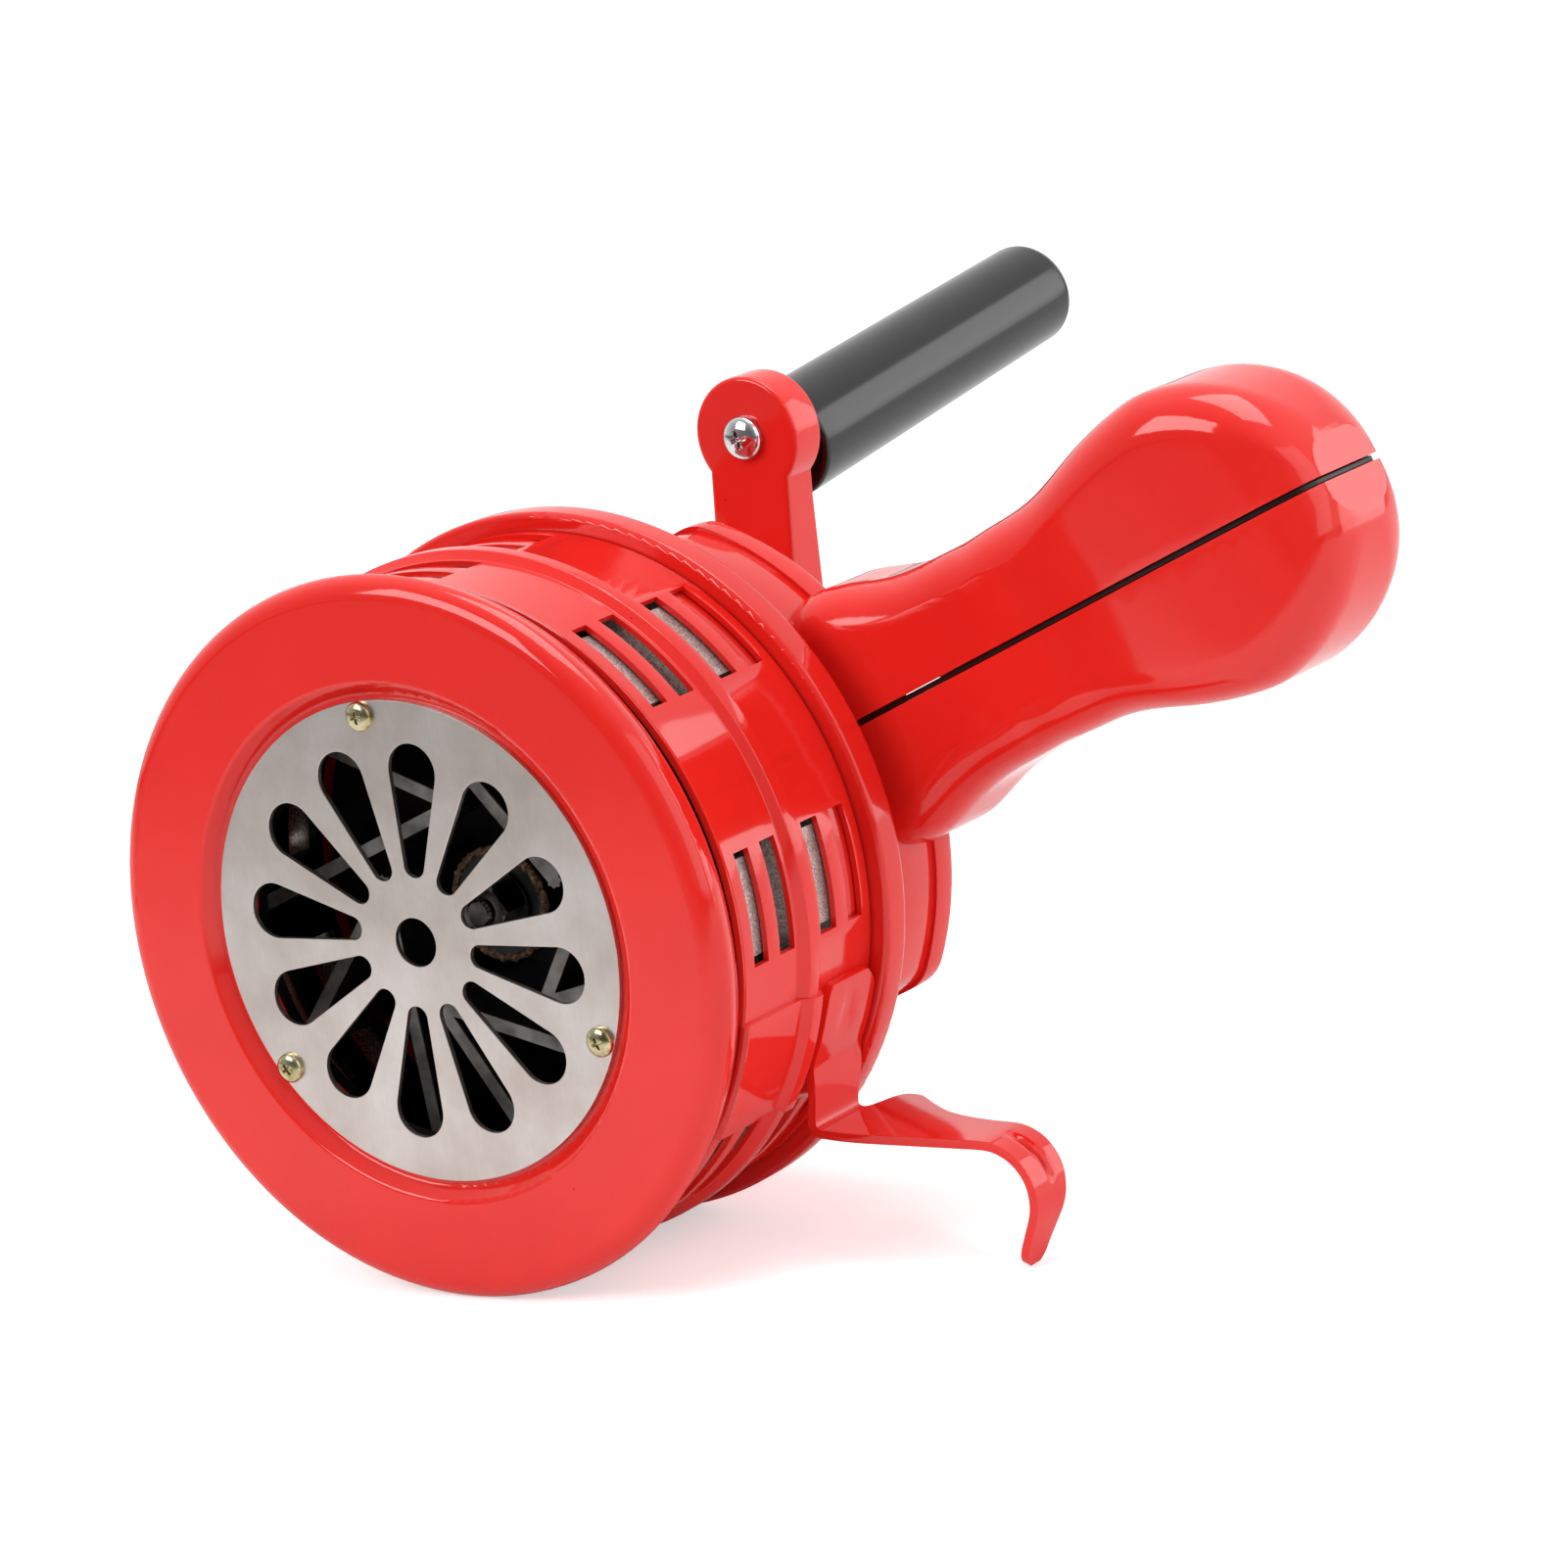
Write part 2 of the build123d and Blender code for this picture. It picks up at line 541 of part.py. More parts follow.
with BuildPart() as rotor_bearing_front:
    with BuildSketch(Plane.XY):
        with BuildLine():
            Polyline(*bearing_half(BEARING_FRONT_Y), close=True)
        make_face()
    revolve(axis=Axis.Y)
rotor_bearing_front.part.label = "rotor_bearing_front"

with BuildPart() as rotor_bearing_rear:
    with BuildSketch(Plane.XY):
        with BuildLine():
            Polyline(*bearing_half(BEARING_REAR_Y), close=True)
        make_face()
    revolve(axis=Axis.Y)
rotor_bearing_rear.part.label = "rotor_bearing_rear"

# ---- gears: two equal reductions that bring the drive back to the drum axis
HALF_STEP = 180 / BIG_TEETH
LAY_TURN = GRIP_TURN + 180
LAY_AT = polar(LAY_DIST, LAY_TURN)
REAR_BEARING_FACE = BEARING_REAR_Y + BEARING_T
with BuildPart() as rotor_pinion:
    with BuildSketch(front(LAYER_1_Y)):
        with BuildLine():
            Polyline(*tooth_outline(SMALL_TEETH, LAY_TURN), close=True)
        make_face()
    extrude(amount=-GEAR_T)
    with BuildSketch(front(REAR_BEARING_FACE + AIR)):
        Circle(SHAFT_R + 1.3)
    extrude(amount=-(LAYER_1_Y - REAR_BEARING_FACE - AIR))
    with BuildSketch(front(REAR_BEARING_FACE)):
        Circle(SHAFT_R + SEAT)
    extrude(amount=-20, mode=Mode.SUBTRACT)
rotor_pinion.part.label = "rotor_pinion"



def lay(depth):
    # plane facing the front, centred on the layshaft
    return Plane(origin=(LAY_AT[0], depth, LAY_AT[1]), x_dir=(1, 0, 0), z_dir=(0, -1, 0))


with BuildPart() as lay_gear:
    with BuildSketch(lay(LAYER_1_Y)):
        with BuildLine():
            Polyline(*tooth_outline(BIG_TEETH, GRIP_TURN + HALF_STEP), close=True)
        make_face()
        with PolarLocations(13.5, 5):
            Circle(4.5, mode=Mode.SUBTRACT)
        Circle(PIN_R + RUN, mode=Mode.SUBTRACT)
    extrude(amount=-GEAR_T)
lay_gear.part.label = "lay_gear"

with BuildPart() as lay_pinion:
    with BuildSketch(lay(LAYER_2_Y)):
        with BuildLine():
            Polyline(*tooth_outline(SMALL_TEETH, GRIP_TURN + 180 / SMALL_TEETH), close=True)
        make_face()
        Circle(PIN_R + RUN, mode=Mode.SUBTRACT)
    extrude(amount=-GEAR_T)
    with BuildSketch(lay(LAYER_1_Y + GEAR_T)):
        Circle(PIN_R + 1.3)
        Circle(PIN_R + RUN, mode=Mode.SUBTRACT)
    extrude(amount=-(LAYER_2_Y - LAYER_1_Y - GEAR_T))
lay_pinion.part.label = "lay_pinion"

with BuildPart() as crank_gear:
    with BuildSketch(front(LAYER_2_Y)):
        with BuildLine():
            Polyline(*tooth_outline(BIG_TEETH, LAY_TURN), close=True)
        make_face()
        with PolarLocations(15.0, 5):
            Circle(4.5, mode=Mode.SUBTRACT)
        Circle(CRANK_SHAFT_R + SEAT, mode=Mode.SUBTRACT)
    extrude(amount=-GEAR_T)
crank_gear.part.label = "crank_gear"

# ---- gearbox case: flat-sided drum bolted on the housing, open to the rear
CASE_INNER_Y = FLANGE_END_Y + CASE_FLOOR
COVER_SCREW_AT = (CASE_R - 18.5, CASE_HALF_W - 10.0)
COVER_SCREW_SHANK = 1.5
PIN_BOSS_R = 5.0
PIN_Y = FLANGE_END_Y + 0.2
COVER_INNER_Y = COVER_END_Y - COVER_FLOOR
with BuildPart() as gearbox_case:
    with BuildSketch(across(FLANGE_END_Y)) as case_outline:
        Circle(CASE_R)
        Rectangle(2 * CASE_R + 2, 2 * CASE_HALF_W, mode=Mode.INTERSECT)
        fillet(case_outline.vertices(), CASE_CORNER)
    extrude(amount=-(CASE_END_Y - FLANGE_END_Y))
    fillet(gearbox_case.edges().group_by(Axis.Y)[0], 4.0)
    with BuildSketch(across(CASE_INNER_Y)) as case_room:
        Circle(CASE_R - CASE_WALL)
        Rectangle(2 * CASE_R + 2, 2 * (CASE_HALF_W - CASE_WALL), mode=Mode.INTERSECT)
        fillet(case_room.vertices(), CASE_CORNER - CASE_WALL)
    extrude(amount=-(CASE_END_Y - CASE_INNER_Y), mode=Mode.SUBTRACT)
    with BuildSketch(across(CASE_INNER_Y)):
        with GridLocations(2 * COVER_SCREW_AT[0], 2 * COVER_SCREW_AT[1], 2, 2):
            Circle(4.0)
    extrude(amount=-(CASE_END_Y - CASE_INNER_Y))
    with BuildSketch(lay(CASE_INNER_Y)):
        Circle(PIN_BOSS_R)
    extrude(amount=-(LAYER_1_Y - AIR - CASE_INNER_Y))
    with BuildSketch(lay(PIN_Y)):
        Circle(PIN_R + SEAT)
    extrude(amount=-8, mode=Mode.SUBTRACT)
    with BuildSketch(across(FLANGE_END_Y)):
        Circle(HUB_R + 0.1)
        with PolarLocations(CASE_SCREW_R, 3):
            Circle(CASE_SCREW_SHANK + 0.1)
    extrude(amount=-CASE_FLOOR, mode=Mode.SUBTRACT)
    with BuildSketch(across(CASE_END_Y)):
        with GridLocations(2 * COVER_SCREW_AT[0], 2 * COVER_SCREW_AT[1], 2, 2):
            Circle(COVER_SCREW_SHANK + TAP)
    extrude(amount=10, mode=Mode.SUBTRACT)
gearbox_case.part.label = "gearbox_case"

with BuildPart() as layshaft:
    with BuildSketch(lay(PIN_Y)):
        Circle(PIN_R)
    extrude(amount=-(COVER_INNER_Y + 1 - PIN_Y))
    chamfer(layshaft.edges().filter_by(GeomType.CIRCLE), 0.4)
layshaft.part.label = "layshaft"

# ---- screws that hold the case on the housing
case_screw = screw(2.75, 2.0, CASE_SCREW_SHANK, CASE_FLOOR + BACK_T - 0.2, 0.8, 0.9)
with BuildPart() as gearbox_case_screws:
    for k in range(3):
        x, z = polar(CASE_SCREW_R, GRIP_TURN + 120 * k)
        with Locations(Plane(origin=(x, CASE_INNER_Y, z), z_dir=(0, 1, 0))):
            add(case_screw)
gearbox_case_screws.part.label = "gearbox_case_screws"

# ---- gearbox cover: pan with a small outward step and the long crank boss
COVER_SCREW_L = 14.0
with BuildPart() as gearbox_cover:
    with BuildSketch(across(CASE_END_Y)) as cover_outline:
        Circle(CASE_R + COVER_STEP)
        Rectangle(2 * CASE_R + 4, 2 * (CASE_HALF_W + COVER_STEP), mode=Mode.INTERSECT)
        fillet(cover_outline.vertices(), CASE_CORNER)
    extrude(amount=-(COVER_END_Y - CASE_END_Y))
    fillet(gearbox_cover.edges().group_by(Axis.Y)[-1], 2.6)
    with BuildSketch(across(CASE_END_Y)) as cover_room:
        Circle(CASE_R - CASE_WALL)
        Rectangle(2 * CASE_R + 4, 2 * (CASE_HALF_W - CASE_WALL), mode=Mode.INTERSECT)
        fillet(cover_room.vertices(), CASE_CORNER - CASE_WALL)
    extrude(amount=-(COVER_INNER_Y - CASE_END_Y), mode=Mode.SUBTRACT)
    with BuildSketch(across(CASE_END_Y)):
        with GridLocations(2 * COVER_SCREW_AT[0], 2 * COVER_SCREW_AT[1], 2, 2):
            Circle(4.0)
    extrude(amount=-(COVER_INNER_Y - CASE_END_Y))
    with BuildSketch(lay(LAYER_2_Y + GEAR_T + AIR)):
        Circle(PIN_BOSS_R)
    extrude(amount=-(COVER_INNER_Y - LAYER_2_Y - GEAR_T - AIR))
    with BuildSketch(front(COVER_INNER_Y)):
        Circle(BOSS_R)
    extrude(amount=-(BOSS_END_Y - COVER_INNER_Y))
    fillet(gearbox_cover.edges().group_by(Axis.Y)[-1], 1.5)
    with BuildSketch(front(CASE_END_Y)):
        Circle(BUSH_R + SEAT)
    extrude(amount=-40, mode=Mode.SUBTRACT)
    with BuildSketch(lay(CASE_END_Y)):
        Circle(PIN_R + SEAT)
    extrude(amount=-(COVER_INNER_Y + 1 - CASE_END_Y), mode=Mode.SUBTRACT)
    with BuildSketch(across(CASE_END_Y)):
        with GridLocations(2 * COVER_SCREW_AT[0], 2 * COVER_SCREW_AT[1], 2, 2):
            Circle(COVER_SCREW_SHANK + 0.1)
    extrude(amount=-10, mode=Mode.SUBTRACT)
gearbox_cover.part.label = "gearbox_cover"

cover_screw = screw(2.75, 2.0, COVER_SCREW_SHANK, COVER_SCREW_L, 0.8, 0.9)
with BuildPart() as gearbox_cover_screws:
    for along, aside in ((1, 1), (1, -1), (-1, 1), (-1, -1)):
        x, y, z = across(COVER_END_Y).from_local_coords(
            (along * COVER_SCREW_AT[0], aside * COVER_SCREW_AT[1], 0)
        )
        with Locations(Plane(origin=(x, COVER_END_Y, z), z_dir=(0, 1, 0))):
            add(cover_screw)
gearbox_cover_screws.part.label = "gearbox_cover_screws"

# ---- crank shaft in its bush
BUSH_FLANGE_T = 1.0
ARM_BORE_R = SPIGOT_R + SEAT
NUT_ARM_T = 4.5
with BuildPart() as crank_bush:
    with BuildSketch(Plane.XY):
        with BuildLine():
            Polyline(
                (CRANK_SHAFT_R + RUN, COVER_INNER_Y + 0.5), (BUSH_R, COVER_INNER_Y + 0.5),
                (BUSH_R, BOSS_END_Y), (BUSH_R + 2, BOSS_END_Y),
                (BUSH_R + 2, BOSS_END_Y + BUSH_FLANGE_T),
                (CRANK_SHAFT_R + RUN, BOSS_END_Y + BUSH_FLANGE_T), close=True,
            )
        make_face()
    revolve(axis=Axis.Y)
crank_bush.part.label = "crank_bush"

COLLAR_Y = LAYER_2_Y + GEAR_T
THRUST_Y = BOSS_END_Y + BUSH_FLANGE_T + AIR
with BuildPart() as crank_shaft:
    with BuildSketch(Plane.XY):
        with BuildLine():
            Polyline(
                (0, SHAFT_END_Y + 1.2), (CRANK_SHAFT_R - 0.5, SHAFT_END_Y + 1.2),
                (CRANK_SHAFT_R, SHAFT_END_Y + 1.7), (CRANK_SHAFT_R, COLLAR_Y), (8, COLLAR_Y),
                (8, COVER_INNER_Y - AIR), (CRANK_SHAFT_R, COVER_INNER_Y - AIR),
                (CRANK_SHAFT_R, THRUST_Y), (8, THRUST_Y), (8, CRANK_ARM_Y),
                (SPIGOT_R, CRANK_ARM_Y), (SPIGOT_R, CRANK_ARM_Y + CRANK_HUB_T + NUT_ARM_T + 1),
                (0, CRANK_ARM_Y + CRANK_HUB_T + NUT_ARM_T + 1), close=True,
            )
        make_face()
    revolve(axis=Axis.Y)
crank_shaft.part.label = "crank_shaft"

# ---- crank arm: tapered bar with round ends, drilled for the shaft and the eye screw
EYE = polar(CRANK_THROW, CRANK_TURN)
EYE_SCREW_SHANK = 2.0
HUB_EDGE = CRANK_ARM_W / 2 + 2.4
with BuildPart() as crank_arm:
    with BuildSketch(front(CRANK_ARM_Y)) as arm_outline:
        Circle(HUB_EDGE)
        with Locations(EYE):
            Circle(CRANK_EYE_R)
        with Locations((EYE[0] / 2, EYE[1] / 2)):
            Rectangle(CRANK_THROW, CRANK_ARM_W, rotation=CRANK_TURN)
        fillet(
            arm_outline.vertices().filter_by_position(Axis.Y, 12, 50)
            + arm_outline.vertices().filter_by_position(Axis.Y, 5, 11.99), 6.0,
        )
    extrude(amount=-CRANK_HUB_T)
    with BuildSketch(radial(CRANK_TURN)):
        Polygon(
            (HUB_EDGE, CRANK_ARM_Y + CRANK_HUB_T),
            (CRANK_THROW - CRANK_EYE_R, CRANK_ARM_Y + CRANK_ARM_T),
            (2 * CRANK_THROW, CRANK_ARM_Y + CRANK_ARM_T),
            (2 * CRANK_THROW, CRANK_ARM_Y + 2 * CRANK_HUB_T),
            (HUB_EDGE, CRANK_ARM_Y + 2 * CRANK_HUB_T), align=None,
        )
    extrude(amount=2 * CRANK_EYE_R, both=True, mode=Mode.SUBTRACT)
    rear_edges = crank_arm.edges().filter_by_position(
        Axis.Y, CRANK_ARM_Y + CRANK_ARM_T - 0.1, CRANK_ARM_Y + CRANK_HUB_T + 0.1
    ).filter_by(Axis((0, 0, 0), radial(CRANK_TURN).z_dir), reverse=True)
    fillet(crank_arm.edges().group_by(Axis.Y)[0] + rear_edges, 0.8)
    with BuildSketch(front(CRANK_ARM_Y)):
        Circle(ARM_BORE_R)
        with Locations(EYE):
            Circle(EYE_SCREW_SHANK + 0.1)
    extrude(amount=-CRANK_HUB_T, mode=Mode.SUBTRACT)
crank_arm.part.label = "crank_arm"

with BuildPart() as crank_arm_nut:
    with BuildSketch(front(CRANK_ARM_Y + CRANK_HUB_T)):
        RegularPolygon(6.5, 6, major_radius=False, rotation=CRANK_TURN)
        Circle(SPIGOT_R + SEAT, mode=Mode.SUBTRACT)
    extrude(amount=-NUT_ARM_T)
    with BuildSketch(Plane.XY):
        with BuildLine():
            Polyline(
                (0, CRANK_ARM_Y + CRANK_HUB_T), (8, CRANK_ARM_Y + CRANK_HUB_T),
                (8, CRANK_ARM_Y + CRANK_HUB_T + NUT_ARM_T - 0.8),
                (6.4, CRANK_ARM_Y + CRANK_HUB_T + NUT_ARM_T),
                (0, CRANK_ARM_Y + CRANK_HUB_T + NUT_ARM_T), close=True,
            )
        make_face()
    revolve(axis=Axis.Y, mode=Mode.INTERSECT)
crank_arm_nut.part.label = "crank_arm_nut"

# ---- knob on its canted spindle; the spindle foot is pulled on the arm by the eye screw
ARM_BACK_Y = CRANK_ARM_Y + CRANK_ARM_T
FOOT_T = 1.5
LEAN = radians(KNOB_LEAN)
OUT = (cos(radians(CRANK_TURN)), sin(radians(CRANK_TURN)))
KNOB_AT = CRANK_THROW - KNOB_INSET
KNOB_START = (KNOB_AT * OUT[0], KNOB_Y, KNOB_AT * OUT[1])
KNOB_DIR = (sin(LEAN) * OUT[0], cos(LEAN), sin(LEAN) * OUT[1])
knob_plane = Plane(origin=KNOB_START, x_dir=(-OUT[1], 0, OUT[0]), z_dir=KNOB_DIR)
SNAP_Z = 18.0
SNAP_L = 4.0
FOOT_R = 6.0
FOOT_SHIFT = 1.8            # the foot is centred between the spindle and the eye screw
CUP_R = FOOT_R + FOOT_SHIFT + 0.4
CUP_T = 1.2
with BuildPart() as knob_spindle:
    with BuildSketch(front(ARM_BACK_Y)):
        with Locations(polar(KNOB_AT + FOOT_SHIFT, CRANK_TURN)):
            Circle(FOOT_R)
    extrude(amount=-FOOT_T)
    with BuildSketch(knob_plane.offset(-1.2)):
        Circle(SPINDLE_R)
    extrude(amount=SPINDLE_L)
    with BuildSketch(knob_plane.offset(SNAP_Z)):
        Circle(SPINDLE_R + 1.0)
    extrude(amount=SNAP_L)
    with BuildSketch(front(ARM_BACK_Y)):
        with Locations(EYE):
            Circle(EYE_SCREW_SHANK + TAP)
    extrude(amount=-FOOT_T - 2.2, mode=Mode.SUBTRACT)
knob_spindle.part.label = "knob_spindle"

eye_screw = screw(3.85, 2.5, EYE_SCREW_SHANK, CRANK_ARM_T + FOOT_T - 0.2, 1.2, 1.4)
with BuildPart(front(CRANK_ARM_Y)) as knob_screw:
    with Locations(EYE):
        add(eye_screw)
knob_screw.part.label = "knob_screw"

with BuildPart() as knob:
    with BuildSketch(Plane.XZ) as knob_half:
        with BuildLine():
            Polyline((0, 0), (KNOB_NEAR_R, 0), (KNOB_FAR_R, KNOB_L), (0, KNOB_L), close=True)
        make_face()
        fillet(knob_half.vertices().group_by(Axis.Y)[-1].sort_by(Axis.X)[-1], 3.0)
        fillet(knob_half.vertices().group_by(Axis.Y)[0].sort_by(Axis.X)[-1], 1.0)
        with BuildLine():
            Polyline(
                (0, 0), (CUP_R, 0), (CUP_R, CUP_T), (SPINDLE_R + RUN, CUP_T),
                (SPINDLE_R + RUN, SNAP_Z - AIR),
                (SPINDLE_R + 1.3, SNAP_Z - AIR), (SPINDLE_R + 1.3, SNAP_Z + SNAP_L + AIR),
                (SPINDLE_R + RUN, SNAP_Z + SNAP_L + AIR), (SPINDLE_R + RUN, SPINDLE_L),
                (0, SPINDLE_L), close=True,
            )
        make_face(mode=Mode.SUBTRACT)
    revolve(axis=Axis.Z)
with BuildPart() as knob_placed:
    with Locations(knob_plane):
        add(knob.part)
knob_placed.part.label = "knob"

# ---- handle: two hollow half shells, lofted through rounded sections, with an open seam
GRIP_REACH = GRIP_STATIONS[-1][0] + 10


def grip_section(half_w, half_d, inset):
    # flat-sided section with round corners, set in by a wall
    corner_r = min(GRIP_CORNER - inset, 0.78 * (min(half_w, half_d) - inset))
    RectangleRounded(2 * (half_w - inset), 2 * (half_d - inset), corner_r)


def station(along):
    # section plane across the handle: sketch x is the half width, sketch y the depth
    turn = radians(GRIP_TURN)
    at = (along * cos(turn), GRIP_Y, along * sin(turn))
    return Plane(origin=at, x_dir=(-sin(turn), 0, cos(turn)), z_dir=(-cos(turn), 0, -sin(turn)))


with BuildPart() as grip_room:
    for along, half_w, half_d in GRIP_STATIONS[:-1]:
        with BuildSketch(station(along - 0.5)):
            grip_section(half_w, half_d, GRIP_WALL)
    loft()

with BuildPart() as grip:
    for along, half_w, half_d in GRIP_STATIONS:
        with BuildSketch(station(along)):
            grip_section(half_w, half_d, 0)
    loft()
    add(grip_room.part, mode=Mode.SUBTRACT)
    with BuildSketch(front(FLANGE_END_Y)):
        Circle(CASE_R)
    extrude(amount=-(CASE_END_Y - FLANGE_END_Y), mode=Mode.SUBTRACT)
    with BuildSketch(front(CASE_END_Y)):
        Circle(CASE_R + COVER_STEP)
    extrude(amount=-2 * GRIP_Y, mode=Mode.SUBTRACT)

# joggled lip inside the rear seam: the lower half reaches behind the upper one
LIP_T = 1.2
LIP_W = 7.0
with BuildPart() as seam_lip:
    add(grip_room.part)
    for along, half_w, half_d in GRIP_STATIONS[:-1]:
        with BuildSketch(station(along - 0.5)):
            grip_section(half_w, half_d, GRIP_WALL + LIP_T)
    loft(mode=Mode.SUBTRACT)
    with BuildSketch(across(GRIP_Y)):
        with Locations(((CASE_R + 3 + GRIP_LIP_END) / 2, -0.5)):
            Rectangle(GRIP_LIP_END - CASE_R - 3, LIP_W)
    extrude(amount=-GRIP_Y, mode=Mode.INTERSECT)

with BuildPart() as handle_upper:
    with BuildSketch(across(GRIP_Y - 40)):
        with Locations((GRIP_REACH / 2, GRIP_GAP / 2 + 20)):
            Rectangle(GRIP_REACH, 40)
    extrude(amount=-80)
    add(grip.part, mode=Mode.INTERSECT)
handle_upper.part.label = "handle_upper"

with BuildPart() as handle_lower:
    with BuildSketch(across(GRIP_Y - 40)):
        with Locations((GRIP_REACH / 2, -GRIP_GAP / 2 - 20)):
            Rectangle(GRIP_REACH, 40)
    extrude(amount=-80)
    add(grip.part, mode=Mode.INTERSECT)
    add(seam_lip.part)
handle_lower.part.label = "handle_lower"

for piece in (
    front_cover, grille_plate, grille_screws, stator_ring, shutter_sleeve, shutter_lever,
    rear_housing, housing_screws, rotor_wheel, rotor_shaft, rotor_washer, rotor_nut,
    rotor_bearing_front, rotor_bearing_rear, rotor_pinion, lay_gear, lay_pinion, layshaft,
    crank_gear, gearbox_case, gearbox_case_screws, gearbox_cover, gearbox_cover_screws,
    crank_bush, crank_shaft, crank_arm, crank_arm_nut, knob_spindle, knob_screw, knob_placed,
    handle_upper, handle_lower,
):
    export_step(piece.part, "parts/" + piece.part.label + ".step")
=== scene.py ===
import json
import math

import bmesh
import bpy
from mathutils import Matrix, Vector


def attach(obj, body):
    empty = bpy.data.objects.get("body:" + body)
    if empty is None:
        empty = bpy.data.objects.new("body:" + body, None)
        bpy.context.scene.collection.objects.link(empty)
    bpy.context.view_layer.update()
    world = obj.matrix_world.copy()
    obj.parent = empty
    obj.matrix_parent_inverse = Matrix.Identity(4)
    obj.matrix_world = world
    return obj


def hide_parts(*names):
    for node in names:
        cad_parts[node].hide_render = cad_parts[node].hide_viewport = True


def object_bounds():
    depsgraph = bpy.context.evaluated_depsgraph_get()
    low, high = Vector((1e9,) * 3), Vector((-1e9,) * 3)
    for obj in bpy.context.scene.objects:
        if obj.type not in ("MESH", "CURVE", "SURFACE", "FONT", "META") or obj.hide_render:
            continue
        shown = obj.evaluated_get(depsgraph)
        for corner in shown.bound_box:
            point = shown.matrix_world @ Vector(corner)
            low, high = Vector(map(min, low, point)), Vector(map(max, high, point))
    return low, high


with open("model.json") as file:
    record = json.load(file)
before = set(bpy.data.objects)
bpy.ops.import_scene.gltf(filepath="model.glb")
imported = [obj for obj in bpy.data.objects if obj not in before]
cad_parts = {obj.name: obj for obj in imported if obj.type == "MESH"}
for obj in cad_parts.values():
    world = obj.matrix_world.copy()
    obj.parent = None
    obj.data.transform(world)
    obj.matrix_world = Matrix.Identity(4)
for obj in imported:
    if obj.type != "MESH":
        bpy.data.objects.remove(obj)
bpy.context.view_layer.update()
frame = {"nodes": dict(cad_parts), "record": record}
NODES = frame["nodes"]
MM = 0.001


# ---------------------------------------------------------------- colour and shader work
def lin(code):
    """sRGB hex text to a linear RGBA colour."""
    out = []
    for i in (0, 2, 4):
        c = int(code[i:i + 2], 16) / 255
        out.append(c / 12.92 if c <= 0.04045 else ((c + 0.055) / 1.055) ** 2.4)
    return (*out, 1.0)


def grey(level):
    """Neutral linear colour."""
    return (level, level, level, 1.0)


def per_mm(size):
    """Texture scale at which one cell or wave of a pattern is this many millimetres wide."""
    return 1 / (size * MM)


def add(tree, kind, x=0, y=0, props=None, stops=(), **inputs):
    """One shader node with its settings and links.

    An input is named with _ for a space, or i0, i1 by number; (node, output) makes a link.
    On a colour ramp, stops are (position, linear colour).
    """
    made = tree.nodes.new(kind)
    made.location = (x, y)
    for key, value in (props or {}).items():
        setattr(made, key, value)
    if stops:
        parts = made.color_ramp.elements
        parts[0].position, parts[0].color = stops[0]
        parts[1].position, parts[1].color = stops[-1]
        for position, colour in stops[1:-1]:
            parts.new(position).color = colour
    for key, value in inputs.items():
        if key.startswith("i") and key[1:].isdigit():
            socket = made.inputs[int(key[1:])]
        else:
            socket = made.inputs[key.replace("_", " ")]
        if isinstance(value, tuple) and len(value) == 2 and isinstance(value[0], bpy.types.Node):
            tree.links.new(value[0].outputs[value[1]], socket)
        else:
            socket.default_value = value
    return made


def start(name, **settings):
    """New material with its shader, output and object coordinates; settings go on the shader."""
    made = bpy.data.materials.new(name)
    made.use_nodes = True
    tree = made.node_tree
    tree.nodes.clear()
    out = add(tree, "ShaderNodeOutputMaterial", 1200, 0)
    shader = add(tree, "ShaderNodeBsdfPrincipled", 900, 0, **settings)
    tree.links.new(shader.outputs["BSDF"], out.inputs["Surface"])
    coords = add(tree, "ShaderNodeTexCoord", -1200, 0)
    return made, tree, shader, (coords, "Object")


def to_shader(tree, shader, **links):
    """Links (node, output) pairs to the shader's named inputs."""
    for key, (node, output) in links.items():
        tree.links.new(node.outputs[output], shader.inputs[key.replace("_", " ")])


